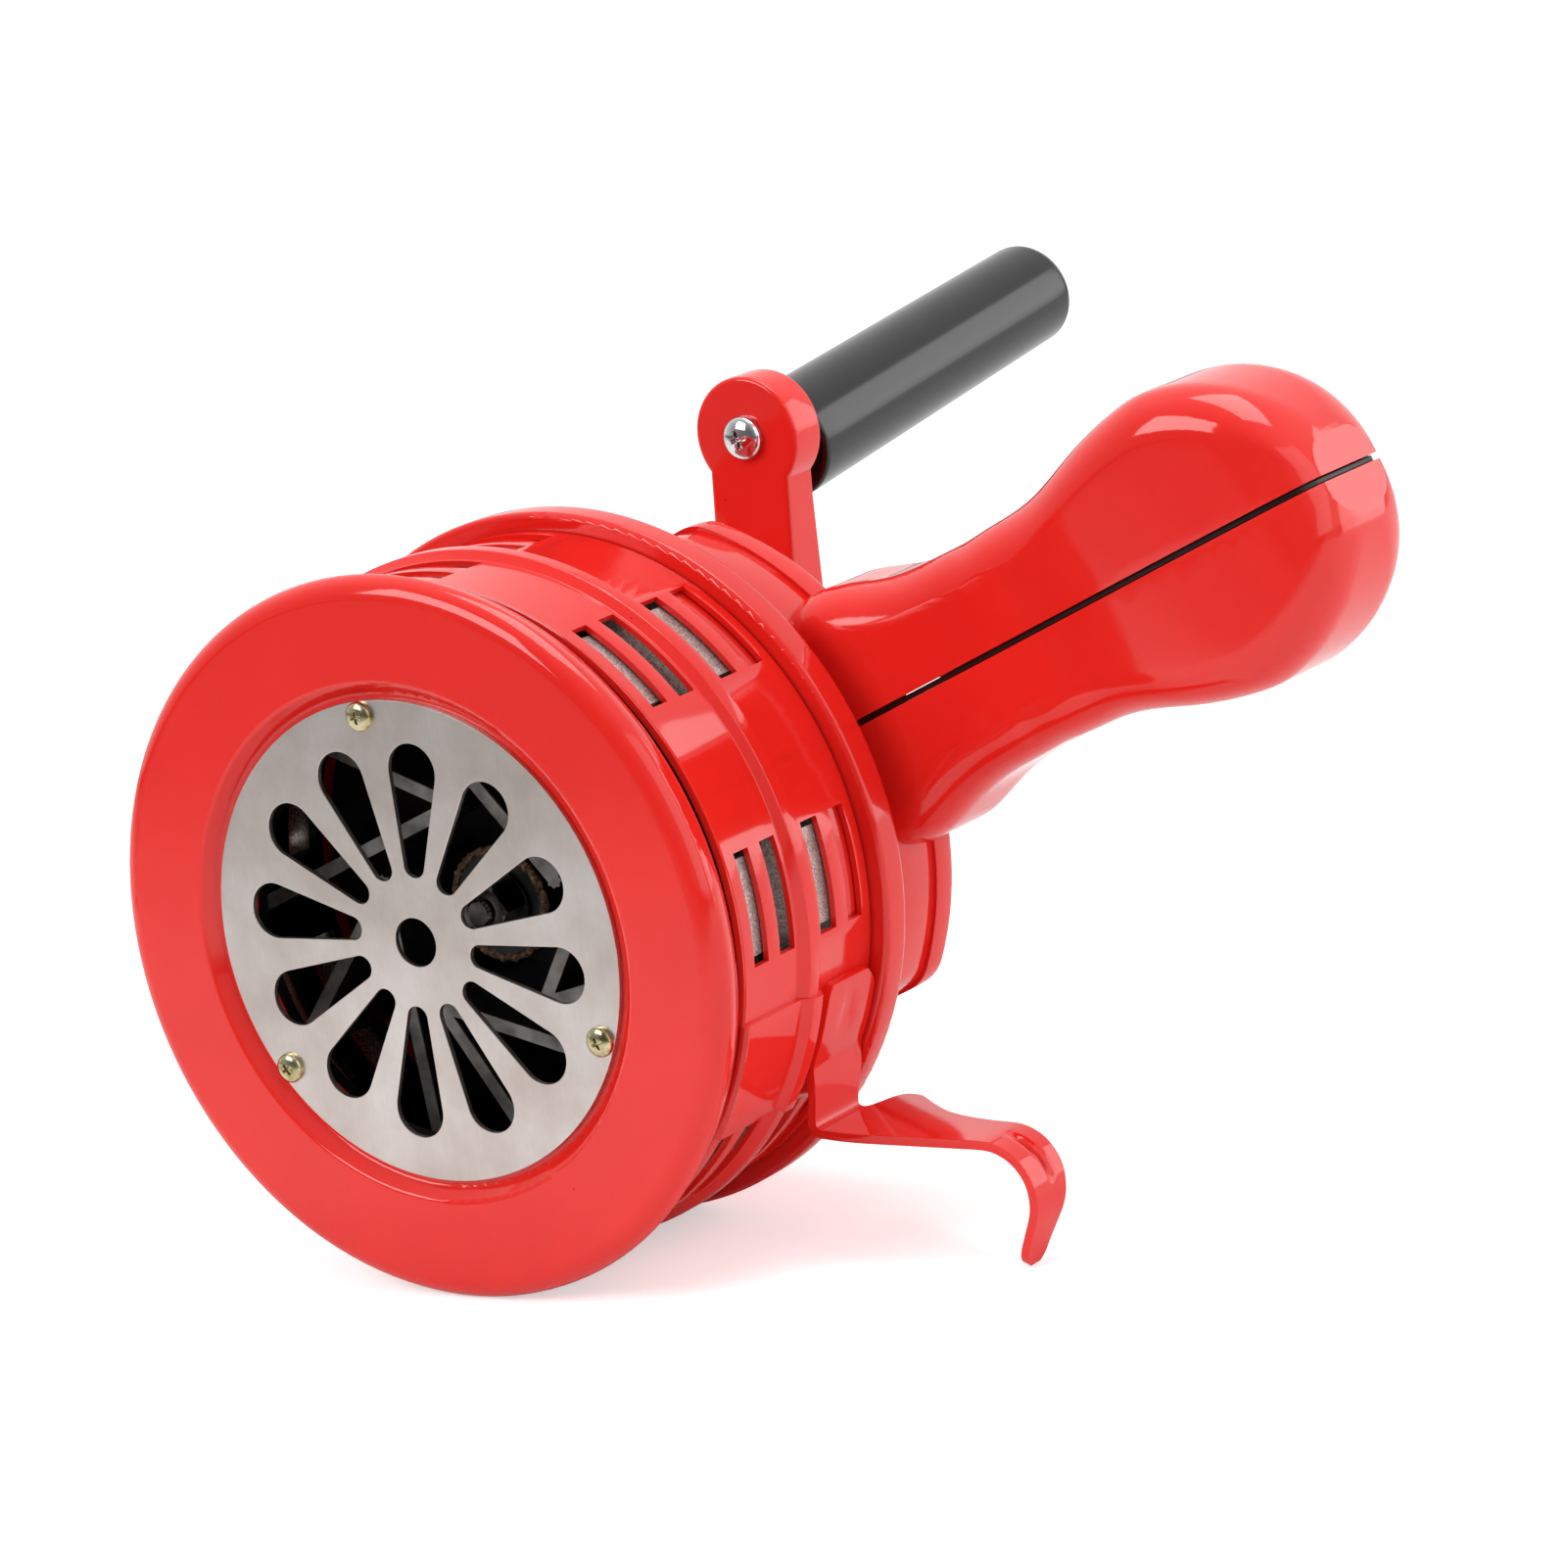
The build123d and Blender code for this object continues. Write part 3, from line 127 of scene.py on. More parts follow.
# ---------------------------------------------------------------- materials
def red_enamel(name, base="E2241D", deep="DC211B", peel_mm=2.2, peel=0.022, nib_mm=7.0):
    """Alkyd enamel, sprayed and baked on sheet and casting.

    The eye gets a saturated red with a tight, slightly wavy gloss (orange peel), a film that is
    a shade deeper where it lies thick, and a few dust nibs and pinholes.
    """
    made, tree, shader, at = start(name, IOR=1.5, Roughness=0.075)
    film = add(tree, "ShaderNodeTexNoise", -900, 300, Vector=at, Scale=per_mm(24), Detail=3.0)
    tone = add(tree, "ShaderNodeValToRGB", -600, 350, Fac=(film, "Fac"),
               stops=[(0.35, lin(deep)), (0.65, lin(base))])
    cells = add(tree, "ShaderNodeTexVoronoi", -900, 0, Vector=at, Scale=per_mm(nib_mm), Randomness=1.0)
    nib = add(tree, "ShaderNodeMath", -650, 0, {"operation": "LESS_THAN"},
              i0=(cells, "Distance"), i1=0.022)
    pick = add(tree, "ShaderNodeSeparateColor", -650, -180, Color=(cells, "Color"))
    few = add(tree, "ShaderNodeMath", -450, -150, {"operation": "GREATER_THAN"},
              i0=(pick, "Red"), i1=0.62)
    spot = add(tree, "ShaderNodeMath", -250, -50, {"operation": "MULTIPLY"},
               i0=(nib, "Value"), i1=(few, "Value"))
    paint = add(tree, "ShaderNodeMix", 0, 250, {"data_type": "RGBA"}, Factor=(spot, "Value"))
    tree.links.new(tone.outputs["Color"], paint.inputs[6])
    paint.inputs[7].default_value = lin("5A0E0A")
    ripple = add(tree, "ShaderNodeTexNoise", -900, -400, Vector=at, Scale=per_mm(peel_mm), Detail=1.5,
                 Roughness=0.4)
    wave = add(tree, "ShaderNodeTexNoise", -900, -650, Vector=at, Scale=per_mm(9), Detail=1.0)
    slow = add(tree, "ShaderNodeBump", 300, -500, Height=(wave, "Fac"), Strength=0.035,
               Distance=0.35 * MM)
    bump = add(tree, "ShaderNodeBump", 600, -300, Height=(ripple, "Fac"), Strength=peel,
               Distance=0.25 * MM, Normal=(slow, "Normal"))
    to_shader(tree, shader, Base_Color=(paint, 2), Normal=(bump, "Normal"))
    return made


def grille_steel(name):
    """Cold-rolled stainless sheet, punched and left bare: a soft grey with a warm cast, a faint
    rolling grain along Z, and clouded stains from handling and cutting oil. The real grain is
    about 0.05 mm; it is drawn at 0.35 mm so that it shows."""
    made, tree, shader, at = start(name, Metallic=1.0)
    grain_map = add(tree, "ShaderNodeMapping", -950, 0, Vector=at,
                    Scale=(per_mm(0.35), per_mm(0.35), per_mm(9)))
    grain = add(tree, "ShaderNodeTexNoise", -700, 0, Vector=(grain_map, "Vector"), Scale=1.0,
                Detail=3.0, Roughness=0.6)
    cloud = add(tree, "ShaderNodeTexNoise", -700, 300, Vector=at, Scale=per_mm(17), Detail=5.0,
                Roughness=0.62)
    stain = add(tree, "ShaderNodeValToRGB", -400, 300, Fac=(cloud, "Fac"),
                stops=[(0.33, lin("C2B7B0")), (0.5, lin("CEC4BE")), (0.68, lin("D8D1CD"))])
    line = add(tree, "ShaderNodeValToRGB", -400, 0, Fac=(grain, "Fac"),
               stops=[(0.35, grey(0.965)), (0.65, grey(1.0))])
    tone = add(tree, "ShaderNodeMix", 0, 200, {"data_type": "RGBA", "blend_type": "MULTIPLY"},
               Factor=1.0)
    tree.links.new(stain.outputs["Color"], tone.inputs[6])
    tree.links.new(line.outputs["Color"], tone.inputs[7])
    gloss = add(tree, "ShaderNodeMapRange", -100, -150, Value=(cloud, "Fac"), To_Min=0.38, To_Max=0.28)
    bump = add(tree, "ShaderNodeBump", 400, -300, Height=(grain, "Fac"), Strength=0.1,
               Distance=0.04 * MM)
    to_shader(tree, shader, Base_Color=(tone, 2), Roughness=(gloss, "Result"), Normal=(bump, "Normal"))
    return made


def plate(name, tones, rough, patch_mm, fine_mm=0.7):
    """Electroplated or turned metal: a clear shine whose tint drifts in small patches."""
    made, tree, shader, at = start(name, Metallic=1.0)
    cloud = add(tree, "ShaderNodeTexNoise", -700, 100, Vector=at, Scale=per_mm(patch_mm), Detail=3.0)
    steps = [(0.3 + 0.4 * i / (len(tones) - 1), lin(t)) for i, t in enumerate(tones)]
    tone = add(tree, "ShaderNodeValToRGB", -400, 150, Fac=(cloud, "Fac"), stops=steps)
    fine = add(tree, "ShaderNodeTexNoise", -700, -200, Vector=at, Scale=per_mm(fine_mm), Detail=2.0)
    gloss = add(tree, "ShaderNodeMapRange", -400, -150, Value=(fine, "Fac"),
                To_Min=max(0.03, rough - 0.05), To_Max=rough + 0.07)
    to_shader(tree, shader, Base_Color=(tone, "Color"), Roughness=(gloss, "Result"))
    return made


def cast_ring(name):
    """Die-cast aluminium, shot blasted: light grey with a sparkling grain of bright and dark pits."""
    made, tree, shader, at = start(name, Metallic=0.75, Roughness=0.45)
    grain = add(tree, "ShaderNodeTexNoise", -700, 100, Vector=at, Scale=per_mm(0.4), Detail=2.0,
                Roughness=0.75)
    broad = add(tree, "ShaderNodeTexNoise", -700, 400, Vector=at, Scale=per_mm(6), Detail=2.0)
    tone = add(tree, "ShaderNodeValToRGB", -400, 150, Fac=(grain, "Fac"),
               stops=[(0.34, lin("7F7B78")), (0.47, lin("B3ADA8")), (0.6, lin("CFCAC6")),
                      (0.72, lin("F2F0EE"))])
    gloss = add(tree, "ShaderNodeMapRange", -400, -150, Value=(broad, "Fac"), To_Min=0.36, To_Max=0.55)
    bump = add(tree, "ShaderNodeBump", 400, -300, Height=(grain, "Fac"), Strength=0.35,
               Distance=0.12 * MM)
    # The bore, inside a radius of 52.2 to 51 mm, is drawn almost black: painted shade for the dark
    # inside of the drum, as it reads through the grille.
    flat = add(tree, "ShaderNodeVectorMath", -900, 700, {"operation": "MULTIPLY"},
               i0=at, i1=(1.0, 0.0, 1.0))
    radius = add(tree, "ShaderNodeVectorMath", -700, 700, {"operation": "LENGTH"}, i0=(flat, "Vector"))
    painted_bore_shade = add(tree, "ShaderNodeMapRange", -450, 650, Value=(radius, "Value"),
               From_Min=52.2 * MM, From_Max=51.0 * MM)
    dark = add(tree, "ShaderNodeMix", 0, 300, {"data_type": "RGBA"}, Factor=(painted_bore_shade, "Result"))
    tree.links.new(tone.outputs["Color"], dark.inputs[6])
    dark.inputs[7].default_value = lin("141312")
    to_shader(tree, shader, Base_Color=(dark, 2), Roughness=(gloss, "Result"), Normal=(bump, "Normal"))
    return made


def rotor_black(name):
    """Black stove enamel on a cast wheel: near black in its depth, while the front edges of the
    vanes and the hub, turned bare after painting, stay a dull bright grey."""
    made, tree, shader, at = start(name)
    place = add(tree, "ShaderNodeSeparateXYZ", -900, 300, Vector=at)
    edge = add(tree, "ShaderNodeMapRange", -650, 300, Value=(place, "Y"),
               From_Min=17.35 * MM, From_Max=17.1 * MM)
    cloud = add(tree, "ShaderNodeTexNoise", -900, 0, Vector=at, Scale=per_mm(4), Detail=5.0)
    black = add(tree, "ShaderNodeValToRGB", -600, 50, Fac=(cloud, "Fac"),
                stops=[(0.4, lin("0A0A0A")), (0.7, lin("1C1B1B"))])
    worn = add(tree, "ShaderNodeValToRGB", -600, -200, Fac=(cloud, "Fac"),
               stops=[(0.3, lin("6C6A67")), (0.62, lin("A3A19D"))])
    tone = add(tree, "ShaderNodeMix", 0, 200, {"data_type": "RGBA"}, Factor=(edge, "Result"))
    tree.links.new(black.outputs["Color"], tone.inputs[6])
    tree.links.new(worn.outputs["Color"], tone.inputs[7])
    metal = add(tree, "ShaderNodeMath", 0, -50, {"operation": "MULTIPLY"}, i0=(edge, "Result"), i1=0.7)
    bump = add(tree, "ShaderNodeBump", 400, -300, Height=(cloud, "Fac"), Strength=0.2, Distance=0.2 * MM)
    shader.inputs["Roughness"].default_value = 0.42
    to_shader(tree, shader, Base_Color=(tone, 2), Metallic=(metal, "Value"), Normal=(bump, "Normal"))
    return made


def knob_plastic(name):
    """Black phenolic, moulded and buffed: deep black, a broad soft sheen and fine handling marks."""
    made, tree, shader, at = start(name, Base_Color=lin("070707"), IOR=1.5)
    marks_map = add(tree, "ShaderNodeMapping", -950, -200, Vector=at,
                    Scale=(per_mm(1.2), per_mm(12), per_mm(1.2)))
    marks = add(tree, "ShaderNodeTexNoise", -700, -200, Vector=(marks_map, "Vector"), Scale=1.0,
                Detail=3.0)
    fine = add(tree, "ShaderNodeTexNoise", -700, 150, Vector=at, Scale=per_mm(1.6), Detail=3.0)
    gloss = add(tree, "ShaderNodeMapRange", -400, 100, Value=(fine, "Fac"), To_Min=0.15, To_Max=0.2)
    bump = add(tree, "ShaderNodeBump", 400, -300, Height=(marks, "Fac"), Strength=0.015,
               Distance=0.1 * MM)
    to_shader(tree, shader, Roughness=(gloss, "Result"), Normal=(bump, "Normal"))
    return made


def dry_grease(name):
    """Dried grease: brown, crumbly and mostly dull."""
    made, tree, shader, at = start(name, IOR=1.45)
    crumb = add(tree, "ShaderNodeTexNoise", -700, 100, Vector=at, Scale=per_mm(0.7), Detail=5.0,
                Roughness=0.7)
    tone = add(tree, "ShaderNodeValToRGB", -400, 150, Fac=(crumb, "Fac"),
               stops=[(0.35, lin("1B110B")), (0.52, lin("5B3F2A")), (0.68, lin("9A7A58"))])
    gloss = add(tree, "ShaderNodeMapRange", -400, -150, Value=(crumb, "Fac"), To_Min=0.35, To_Max=0.8)
    bump = add(tree, "ShaderNodeBump", 400, -300, Height=(crumb, "Fac"), Strength=0.8, Distance=0.4 * MM)
    to_shader(tree, shader, Base_Color=(tone, "Color"), Roughness=(gloss, "Result"),
              Normal=(bump, "Normal"))
    return made


MATS = {
    "red_enamel": red_enamel("baked_red_enamel"),
    "red_cast": red_enamel("red_enamel_on_casting", base="DE221C", deep="D61F19", peel_mm=3.0,
                           peel=0.035),
    "stainless": grille_steel("rolled_stainless_sheet"),
    "yellow_zinc": plate("yellow_zinc_plate", ("81744F", "B0A579", "CFC7A2", "958A62"), 0.16, 1.8),
    "cast_aluminium": cast_ring("blasted_cast_aluminium"),
    "black_cast": rotor_black("black_stove_enamel_casting"),
    "bright_steel": plate("turned_steel", ("5B5854", "97948F"), 0.26, 2.5),
    "gear_steel": plate("oiled_gear_steel", ("6F6C66", "9A9792"), 0.32, 4.0),
    "bush_brass": plate("turned_brass", ("A98444", "CDA75E"), 0.26, 4.0),
    "chrome_screw": plate("chrome_plate", ("CFCFD2", "DEDFE1"), 0.08, 2.0, 1.0),
    "black_knob": knob_plastic("black_phenolic"),
}
GREASE = dry_grease("dried_grease")
# Finishes of single nodes that differ from the rest of their slot: the nut outside is clean zinc, and
# the shaft end, nut and washer behind the grille are drawn near black, as painted shade for the dark
# inside of the drum.
DEEP_SHADE_STEEL = plate("steel_in_painted_shade", ("262422", "3F3C39", "55514D"), 0.17, 3.5)
OWN_FINISH = {
    "rotor_nut": DEEP_SHADE_STEEL, "rotor_shaft": DEEP_SHADE_STEEL, "rotor_washer": DEEP_SHADE_STEEL,
    "crank_arm_nut": plate("bright_zinc_plate", ("8E8F92", "B9BABD", "CFCFD1"), 0.2, 2.5),
}


# ---------------------------------------------------------------- bench work on meshes
def put_down():
    """Leaves edit mode with nothing chosen, so that the next operator acts on one piece alone."""
    if bpy.context.mode != "OBJECT":
        bpy.ops.object.mode_set(mode="OBJECT")
    bpy.ops.object.select_all(action="DESELECT")


def take(piece):
    """Makes one piece the only chosen and the active one."""
    put_down()
    piece.select_set(True)
    bpy.context.view_layer.objects.active = piece


def open_up(piece):
    """Takes a piece into edit mode."""
    take(piece)
    bpy.ops.object.mode_set(mode="EDIT")


def choose(piece, kind, test):
    """In edit mode, picks the points, edges or faces whose middle, in mm, passes the test."""
    bpy.ops.mesh.select_mode(type=kind)
    bpy.ops.mesh.select_all(action="DESELECT")
    mesh = bmesh.from_edit_mesh(piece.data)
    if kind == "VERT":
        rows = [(v, v.co) for v in mesh.verts]
    elif kind == "EDGE":
        rows = [(e, (e.verts[0].co + e.verts[1].co) / 2) for e in mesh.edges]
    else:
        rows = [(f, f.calc_center_median()) for f in mesh.faces]
    for item, middle in rows:
        if test(middle / MM):
            item.select_set(True)
    bmesh.update_edit_mesh(piece.data)


def apply_modifier(piece, kind, **settings):
    """Adds a modifier with its settings and applies it."""
    take(piece)
    made = piece.modifiers.new(kind.lower(), kind)
    for key, value in settings.items():
        setattr(made, key, value)
    bpy.ops.object.modifier_apply(modifier=made.name)


def seal(piece, angle=35):
    """Merges what meets, turns all faces outwards and smooths all but the real edges."""
    open_up(piece)
    bpy.ops.mesh.select_all(action="SELECT")
    bpy.ops.mesh.remove_doubles(threshold=0.001 * MM)
    bpy.ops.mesh.normals_make_consistent(inside=False)
    take(piece)
    bpy.ops.object.shade_smooth_by_angle(angle=math.radians(angle))


def hand_over(piece, name, slot, body, replaces=(), finish=None):
    """Names a finished piece, gives it its material and fixes it to its body."""
    put_down()
    piece.name = name
    piece.data.name = name
    piece.data.materials.clear()
    piece.data.materials.append(finish or MATS[slot])
    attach(piece, body)
    if replaces:
        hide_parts(*replaces)
    return piece


# ---------------------------------------------------------------- finish on the CAD nodes
# Width in mm of the broken edge that paint, tumbling or moulding leaves on each part.
EDGE_MM = {
    "front_cover": 0.3, "grille_plate": 0.12, "stator_ring": 0.35, "shutter_sleeve": 0.28,
    "rear_housing": 0.4, "gearbox_case": 0.5, "gearbox_cover": 0.5,
    "crank_arm": 0.7, "handle_upper": 0.45, "handle_lower": 0.45, "knob": 0.5,
    "rotor_wheel": 0.25,
}
for part in frame["record"]["subparts"]:
    holder = NODES[part["node"]]
    for place in holder.material_slots:
        place.link = "DATA"
    holder.data.materials.clear()
    holder.data.materials.append(OWN_FINISH.get(part["node"], MATS[part["material_slot"]]))
    weld = holder.modifiers.new("close_mesh", "WELD")
    weld.merge_threshold = 0.002 * MM
    edge = holder.modifiers.new("broken_edge", "BEVEL")
    edge.width = EDGE_MM.get(part["node"], 0.15) * MM
    edge.segments = 3
    edge.limit_method = "ANGLE"
    edge.angle_limit = math.radians(38)
    edge.use_clamp_overlap = True


# ---------------------------------------------------------------- finger lever
# Middle of the bent strip in mm: x, z, front edge y, rear edge y. It follows the sleeve, folds
# into the arm, widens to a shoulder, and curls down to a narrow round tip.
LEVER_T = 1.5
LEVER = (
    (55.78, -14.95, 34.3, 44.6), (55.21, -16.95, 33.6, 46.8), (54.56, -18.94, 33.5, 47.2),
    (53.84, -20.9, 33.5, 47.2), (53.05, -22.83, 33.5, 47.2), (52.19, -24.73, 33.5, 47.2),
    (51.26, -26.6, 33.4, 47.2), (50.26, -28.44, 33.4, 47.2), (50.2, -30.02, 33.4, 47.2),
    (50.05, -31.9, 33.4, 46.9), (49.89, -33.78, 33.4, 46.6), (49.73, -35.67, 33.1, 45.6),
    (49.58, -37.55, 32.8, 45.3), (49.7, -38.39, 32.6, 45.1), (49.98, -38.86, 32.5, 45.0),
    (50.38, -39.23, 32.4, 45.0), (50.88, -39.47, 32.3, 45.1), (51.42, -39.55, 32.2, 45.1),
    (52.1, -39.55, 32.1, 45.2), (52.8, -39.55, 32.0, 47.5), (53.5, -39.55, 31.8, 50.6),
    (54.3, -39.55, 31.7, 52.1), (55.3, -39.55, 31.5, 52.5), (56.5, -39.55, 31.3, 52.4),
    (57.8, -39.55, 31.2, 52.3), (59.2, -39.55, 31.1, 51.4), (60.8, -39.55, 31.0, 50.0),
    (62.8, -39.55, 31.0, 48.4), (65.0, -39.55, 31.0, 46.7), (67.5, -39.55, 31.0, 45.0),
    (70.0, -39.55, 31.0, 43.8), (72.5, -39.55, 31.0, 42.9), (75.0, -39.55, 31.0, 42.2),
    (77.5, -39.55, 31.0, 41.7), (80.0, -39.55, 31.0, 41.3), (82.51, -39.55, 31.0, 41.1),
    (83.73, -39.64, 31.0, 41.1), (84.92, -39.89, 31.0, 41.0), (86.07, -40.31, 31.0, 41.0),
    (87.15, -40.88, 31.0, 40.9), (88.14, -41.6, 31.0, 40.9), (89.02, -42.45, 31.0, 40.7),
    (89.77, -43.42, 31.0, 40.6), (90.38, -44.47, 31.0, 40.5), (90.84, -45.61, 31.0, 40.3),
    (91.13, -46.79, 30.9, 40.0), (91.26, -48.01, 30.9, 39.7), (91.21, -49.23, 30.9, 39.5),
    (91.0, -50.43, 30.9, 39.2), (90.62, -51.6, 30.9, 38.9), (90.07, -52.9, 30.9, 38.4),
    (89.55, -54.19, 30.8, 37.9), (89.02, -55.49, 30.8, 37.3), (88.57, -56.6, 30.8, 36.9),
    (88.23, -57.44, 31.0, 36.7), (87.93, -58.18, 31.3, 36.4), (87.67, -58.83, 31.8, 35.9),
    (87.46, -59.3, 32.4, 35.3),
)
STRIP_COLUMNS = 20
CURL_MIDDLE = Vector((82.51, 0.0, -48.3))
GROOVE_Y = 36.4
WELD_AT = Vector((53.65, 40.0, -21.1))
WELD_TURN = -21.4


def edge_row(at, width, cuts=0):
    """Straight row of edges along Y, centred at a point in mm, left open in edit mode."""
    put_down()
    bpy.ops.mesh.primitive_plane_add(size=1.0, location=(0, 0, 0))
    row = bpy.context.object
    open_up(row)
    choose(row, "VERT", lambda p: p.x > 0)
    bpy.ops.mesh.delete(type="VERT")
    bpy.ops.mesh.select_all(action="SELECT")
    bpy.ops.transform.resize(value=(1, width * MM, 1), center_override=(0, 0, 0))
    bpy.ops.transform.translate(value=(at[0] * MM + 0.5, at[1] * MM, at[2] * MM))
    if cuts:
        bpy.ops.mesh.subdivide(number_cuts=cuts)
    bpy.ops.mesh.select_mode(type="EDGE")
    bpy.ops.mesh.select_all(action="SELECT")
    return row


def finger_lever():
    """Bent and pressed sheet strip that pulls the shutter round."""
    x, z, front, rear = LEVER[0]
    strip = edge_row((x, (rear + front) / 2, z), rear - front, STRIP_COLUMNS - 1)
    for before, now in zip(LEVER, LEVER[1:]):
        middle = [(s[2] + s[3]) / 2 for s in (before, now)]
        step = ((now[0] - before[0]) * MM, (middle[1] - middle[0]) * MM, (now[1] - before[1]) * MM)
        bpy.ops.mesh.extrude_edges_move(TRANSFORM_OT_translate={"value": step})
        wide = (now[3] - now[2]) / (before[3] - before[2])
        bpy.ops.transform.resize(value=(1, wide, 1), center_override=(0, middle[1] * MM, 0))

    # Pressed stiffening groove over the top of the curl.
    for reach, depth in ((0.95, 0.3), (0.45, 0.35)):
        for turn in range(12, 72, 4):
            out = Vector((math.cos(math.radians(turn)), 0, math.sin(math.radians(turn))))
            fade = min(1.0, (turn - 8) / 12, (76 - turn) / 12)

            def in_groove(p, out=out, turn=turn, reach=reach):
                from_middle = Vector((p.x, 0, p.z)) - CURL_MIDDLE
                here = math.degrees(math.atan2(from_middle.z, from_middle.x))
                return p.x > 82.4 and abs(here - turn) <= 2.0 and abs(p.y - GROOVE_Y) < reach

            choose(strip, "VERT", in_groove)
            bpy.ops.transform.translate(value=tuple(-out * depth * fade * MM))

    # Weld dimple in the saddle, where the strip is spot welded to the sleeve.
    out = Vector((math.cos(math.radians(WELD_TURN)), 0, math.sin(math.radians(WELD_TURN))))
    for reach, depth in ((2.6, 0.14), (1.7, 0.2)):
        choose(strip, "VERT", lambda p, r=reach: (p - WELD_AT).length < r)
        bpy.ops.transform.translate(value=tuple(-out * depth * MM))

    seal(strip)
    apply_modifier(strip, "SUBSURF", levels=1, render_levels=1)
    apply_modifier(strip, "SOLIDIFY", thickness=(LEVER_T - 0.02) * MM, offset=0.0)
    apply_modifier(strip, "BEVEL", width=0.42 * MM, segments=3, limit_method="ANGLE",
                   angle_limit=math.radians(50))
    seal(strip, 40)
    return hand_over(strip, "finger_lever", "red_enamel", "shutter", ["shutter_lever"])


finger_lever()


# ---------------------------------------------------------------- screws
def cross_head_screw(head_r, head_t, shank_r, shank_l, recess_r, recess_w, recess_t):
    """Pan head with a cross recess, all in mm: underside of the head at y = 0, shank to +Y."""
    side = 0.35 * head_t
    put_down()
    bpy.ops.mesh.primitive_cylinder_add(vertices=40, radius=head_r * MM, depth=side * MM,
                                        location=(0, -side / 2 * MM, 0), rotation=(math.pi / 2, 0, 0))
    screw = bpy.context.object
    bpy.ops.object.transform_apply(location=True, rotation=True, scale=True)
    open_up(screw)
    choose(screw, "FACE", lambda p: p.y > -0.001)
    bpy.ops.mesh.inset(thickness=(head_r - shank_r) * MM)
    bpy.ops.mesh.extrude_region_move(TRANSFORM_OT_translate={"value": (0, (shank_l - 0.4) * MM, 0)})
    bpy.ops.mesh.extrude_region_move(TRANSFORM_OT_translate={"value": (0, 0.4 * MM, 0)})
    bpy.ops.transform.resize(value=(0.7, 1, 0.7), center_override=(0, 0, 0))
    choose(screw, "FACE", lambda p: abs(p.y + side) < 0.001)
    turn_before = 0.0
    for turn in (16, 32, 48, 62, 75):
        a, b = math.radians(turn_before), math.radians(turn)
        rise = (head_t - side) * (math.sin(b) - math.sin(a))
        bpy.ops.mesh.extrude_region_move(TRANSFORM_OT_translate={"value": (0, -rise * MM, 0)})
        shrink = math.cos(b) / math.cos(a)
        bpy.ops.transform.resize(value=(shrink, 1, shrink), center_override=(0, 0, 0))
        turn_before = turn
    for long_x in (True, False):
        put_down()
        bpy.ops.mesh.primitive_cube_add(size=1.0, location=(0, 0, 0))
        wing = bpy.context.object
        size = (recess_r * 2, recess_t * 2, recess_w)
        if not long_x:
            size = size[::-1]
        open_up(wing)
        bpy.ops.mesh.select_all(action="SELECT")
        bpy.ops.transform.resize(value=tuple(s * MM for s in size), center_override=(0, 0, 0))
        choose(wing, "FACE", lambda p: p.y > recess_t * 0.9)
        bpy.ops.transform.resize(value=(0.6, 1, 0.6), center_override=(0, 0, 0))
        bpy.ops.mesh.select_all(action="SELECT")
        bpy.ops.transform.translate(value=(0, -head_t * MM, 0))
        put_down()
        apply_modifier(screw, "BOOLEAN", operation="DIFFERENCE", object=wing, solver="EXACT")
        bpy.data.objects.remove(wing)
    seal(screw)
    apply_modifier(screw, "BEVEL", width=0.05 * head_t * MM, segments=2, limit_method="ANGLE",
                   angle_limit=math.radians(45))
    seal(screw, 30)
    return screw


def set_screw(model, name, slot, body, at, node, turn, rear=False):
    """A copy of a screw with its own mesh, driven in at a point in mm and left at its own turn."""
    put_down()
    twin = model.copy()
    twin.data = model.data.copy()
    bpy.context.scene.collection.objects.link(twin)
    take(twin)
    bpy.ops.object.mode_set(mode="EDIT")
    bpy.ops.mesh.select_all(action="SELECT")
    bpy.ops.transform.rotate(value=math.radians(turn), orient_axis="Y", center_override=(0, 0, 0))
    if rear:
        bpy.ops.transform.rotate(value=math.pi, orient_axis="Z", center_override=(0, 0, 0))
    bpy.ops.transform.translate(value=tuple(c * MM for c in at))
    put_down()
    return hand_over(twin, name, slot, body, [node])


def on_circle(radius, angle, y):
    """Point in mm at a radius and an angle round the drum axis."""
    return (radius * math.cos(math.radians(angle)), y, radius * math.sin(math.radians(angle)))


# Circles and faces in mm that the screws stand on. Each screw has its place and, last, the turn
# of its cross in degrees.
GRILLE_SCREW_R = 37.5
GRILLE_FACE_Y = 1.5
GRILLE_SCREWS = ((96, 8), (216, 33), (336, 22))
COVER_FACE_Y = 76.5
COVER_SCREWS = ((36, 32, 12), (36, -32, 41), (-36, 32, 63), (-36, -32, 80))
FLANGE_SCREW_R = 52.6
FLANGE_FACE_Y = 54.2
FLANGE_SCREWS = ((93, 20), (138, 55), (273, 5), (318, 71))
CRANK_THROW = 61
CRANK_TURN = 85
CRANK_FACE_Y = 102.5
GRIP_TURN = 22.9

small = cross_head_screw(2.48, 1.4, 1.2, 4.6, 1.35, 0.62, 0.75)
for count, (angle, cross_turn) in enumerate(GRILLE_SCREWS, 1):
    set_screw(small, f"grille_screw_{count}", "yellow_zinc", "housing",
              on_circle(GRILLE_SCREW_R, angle, GRILLE_FACE_Y), "grille_screws", cross_turn)
bpy.data.objects.remove(small)

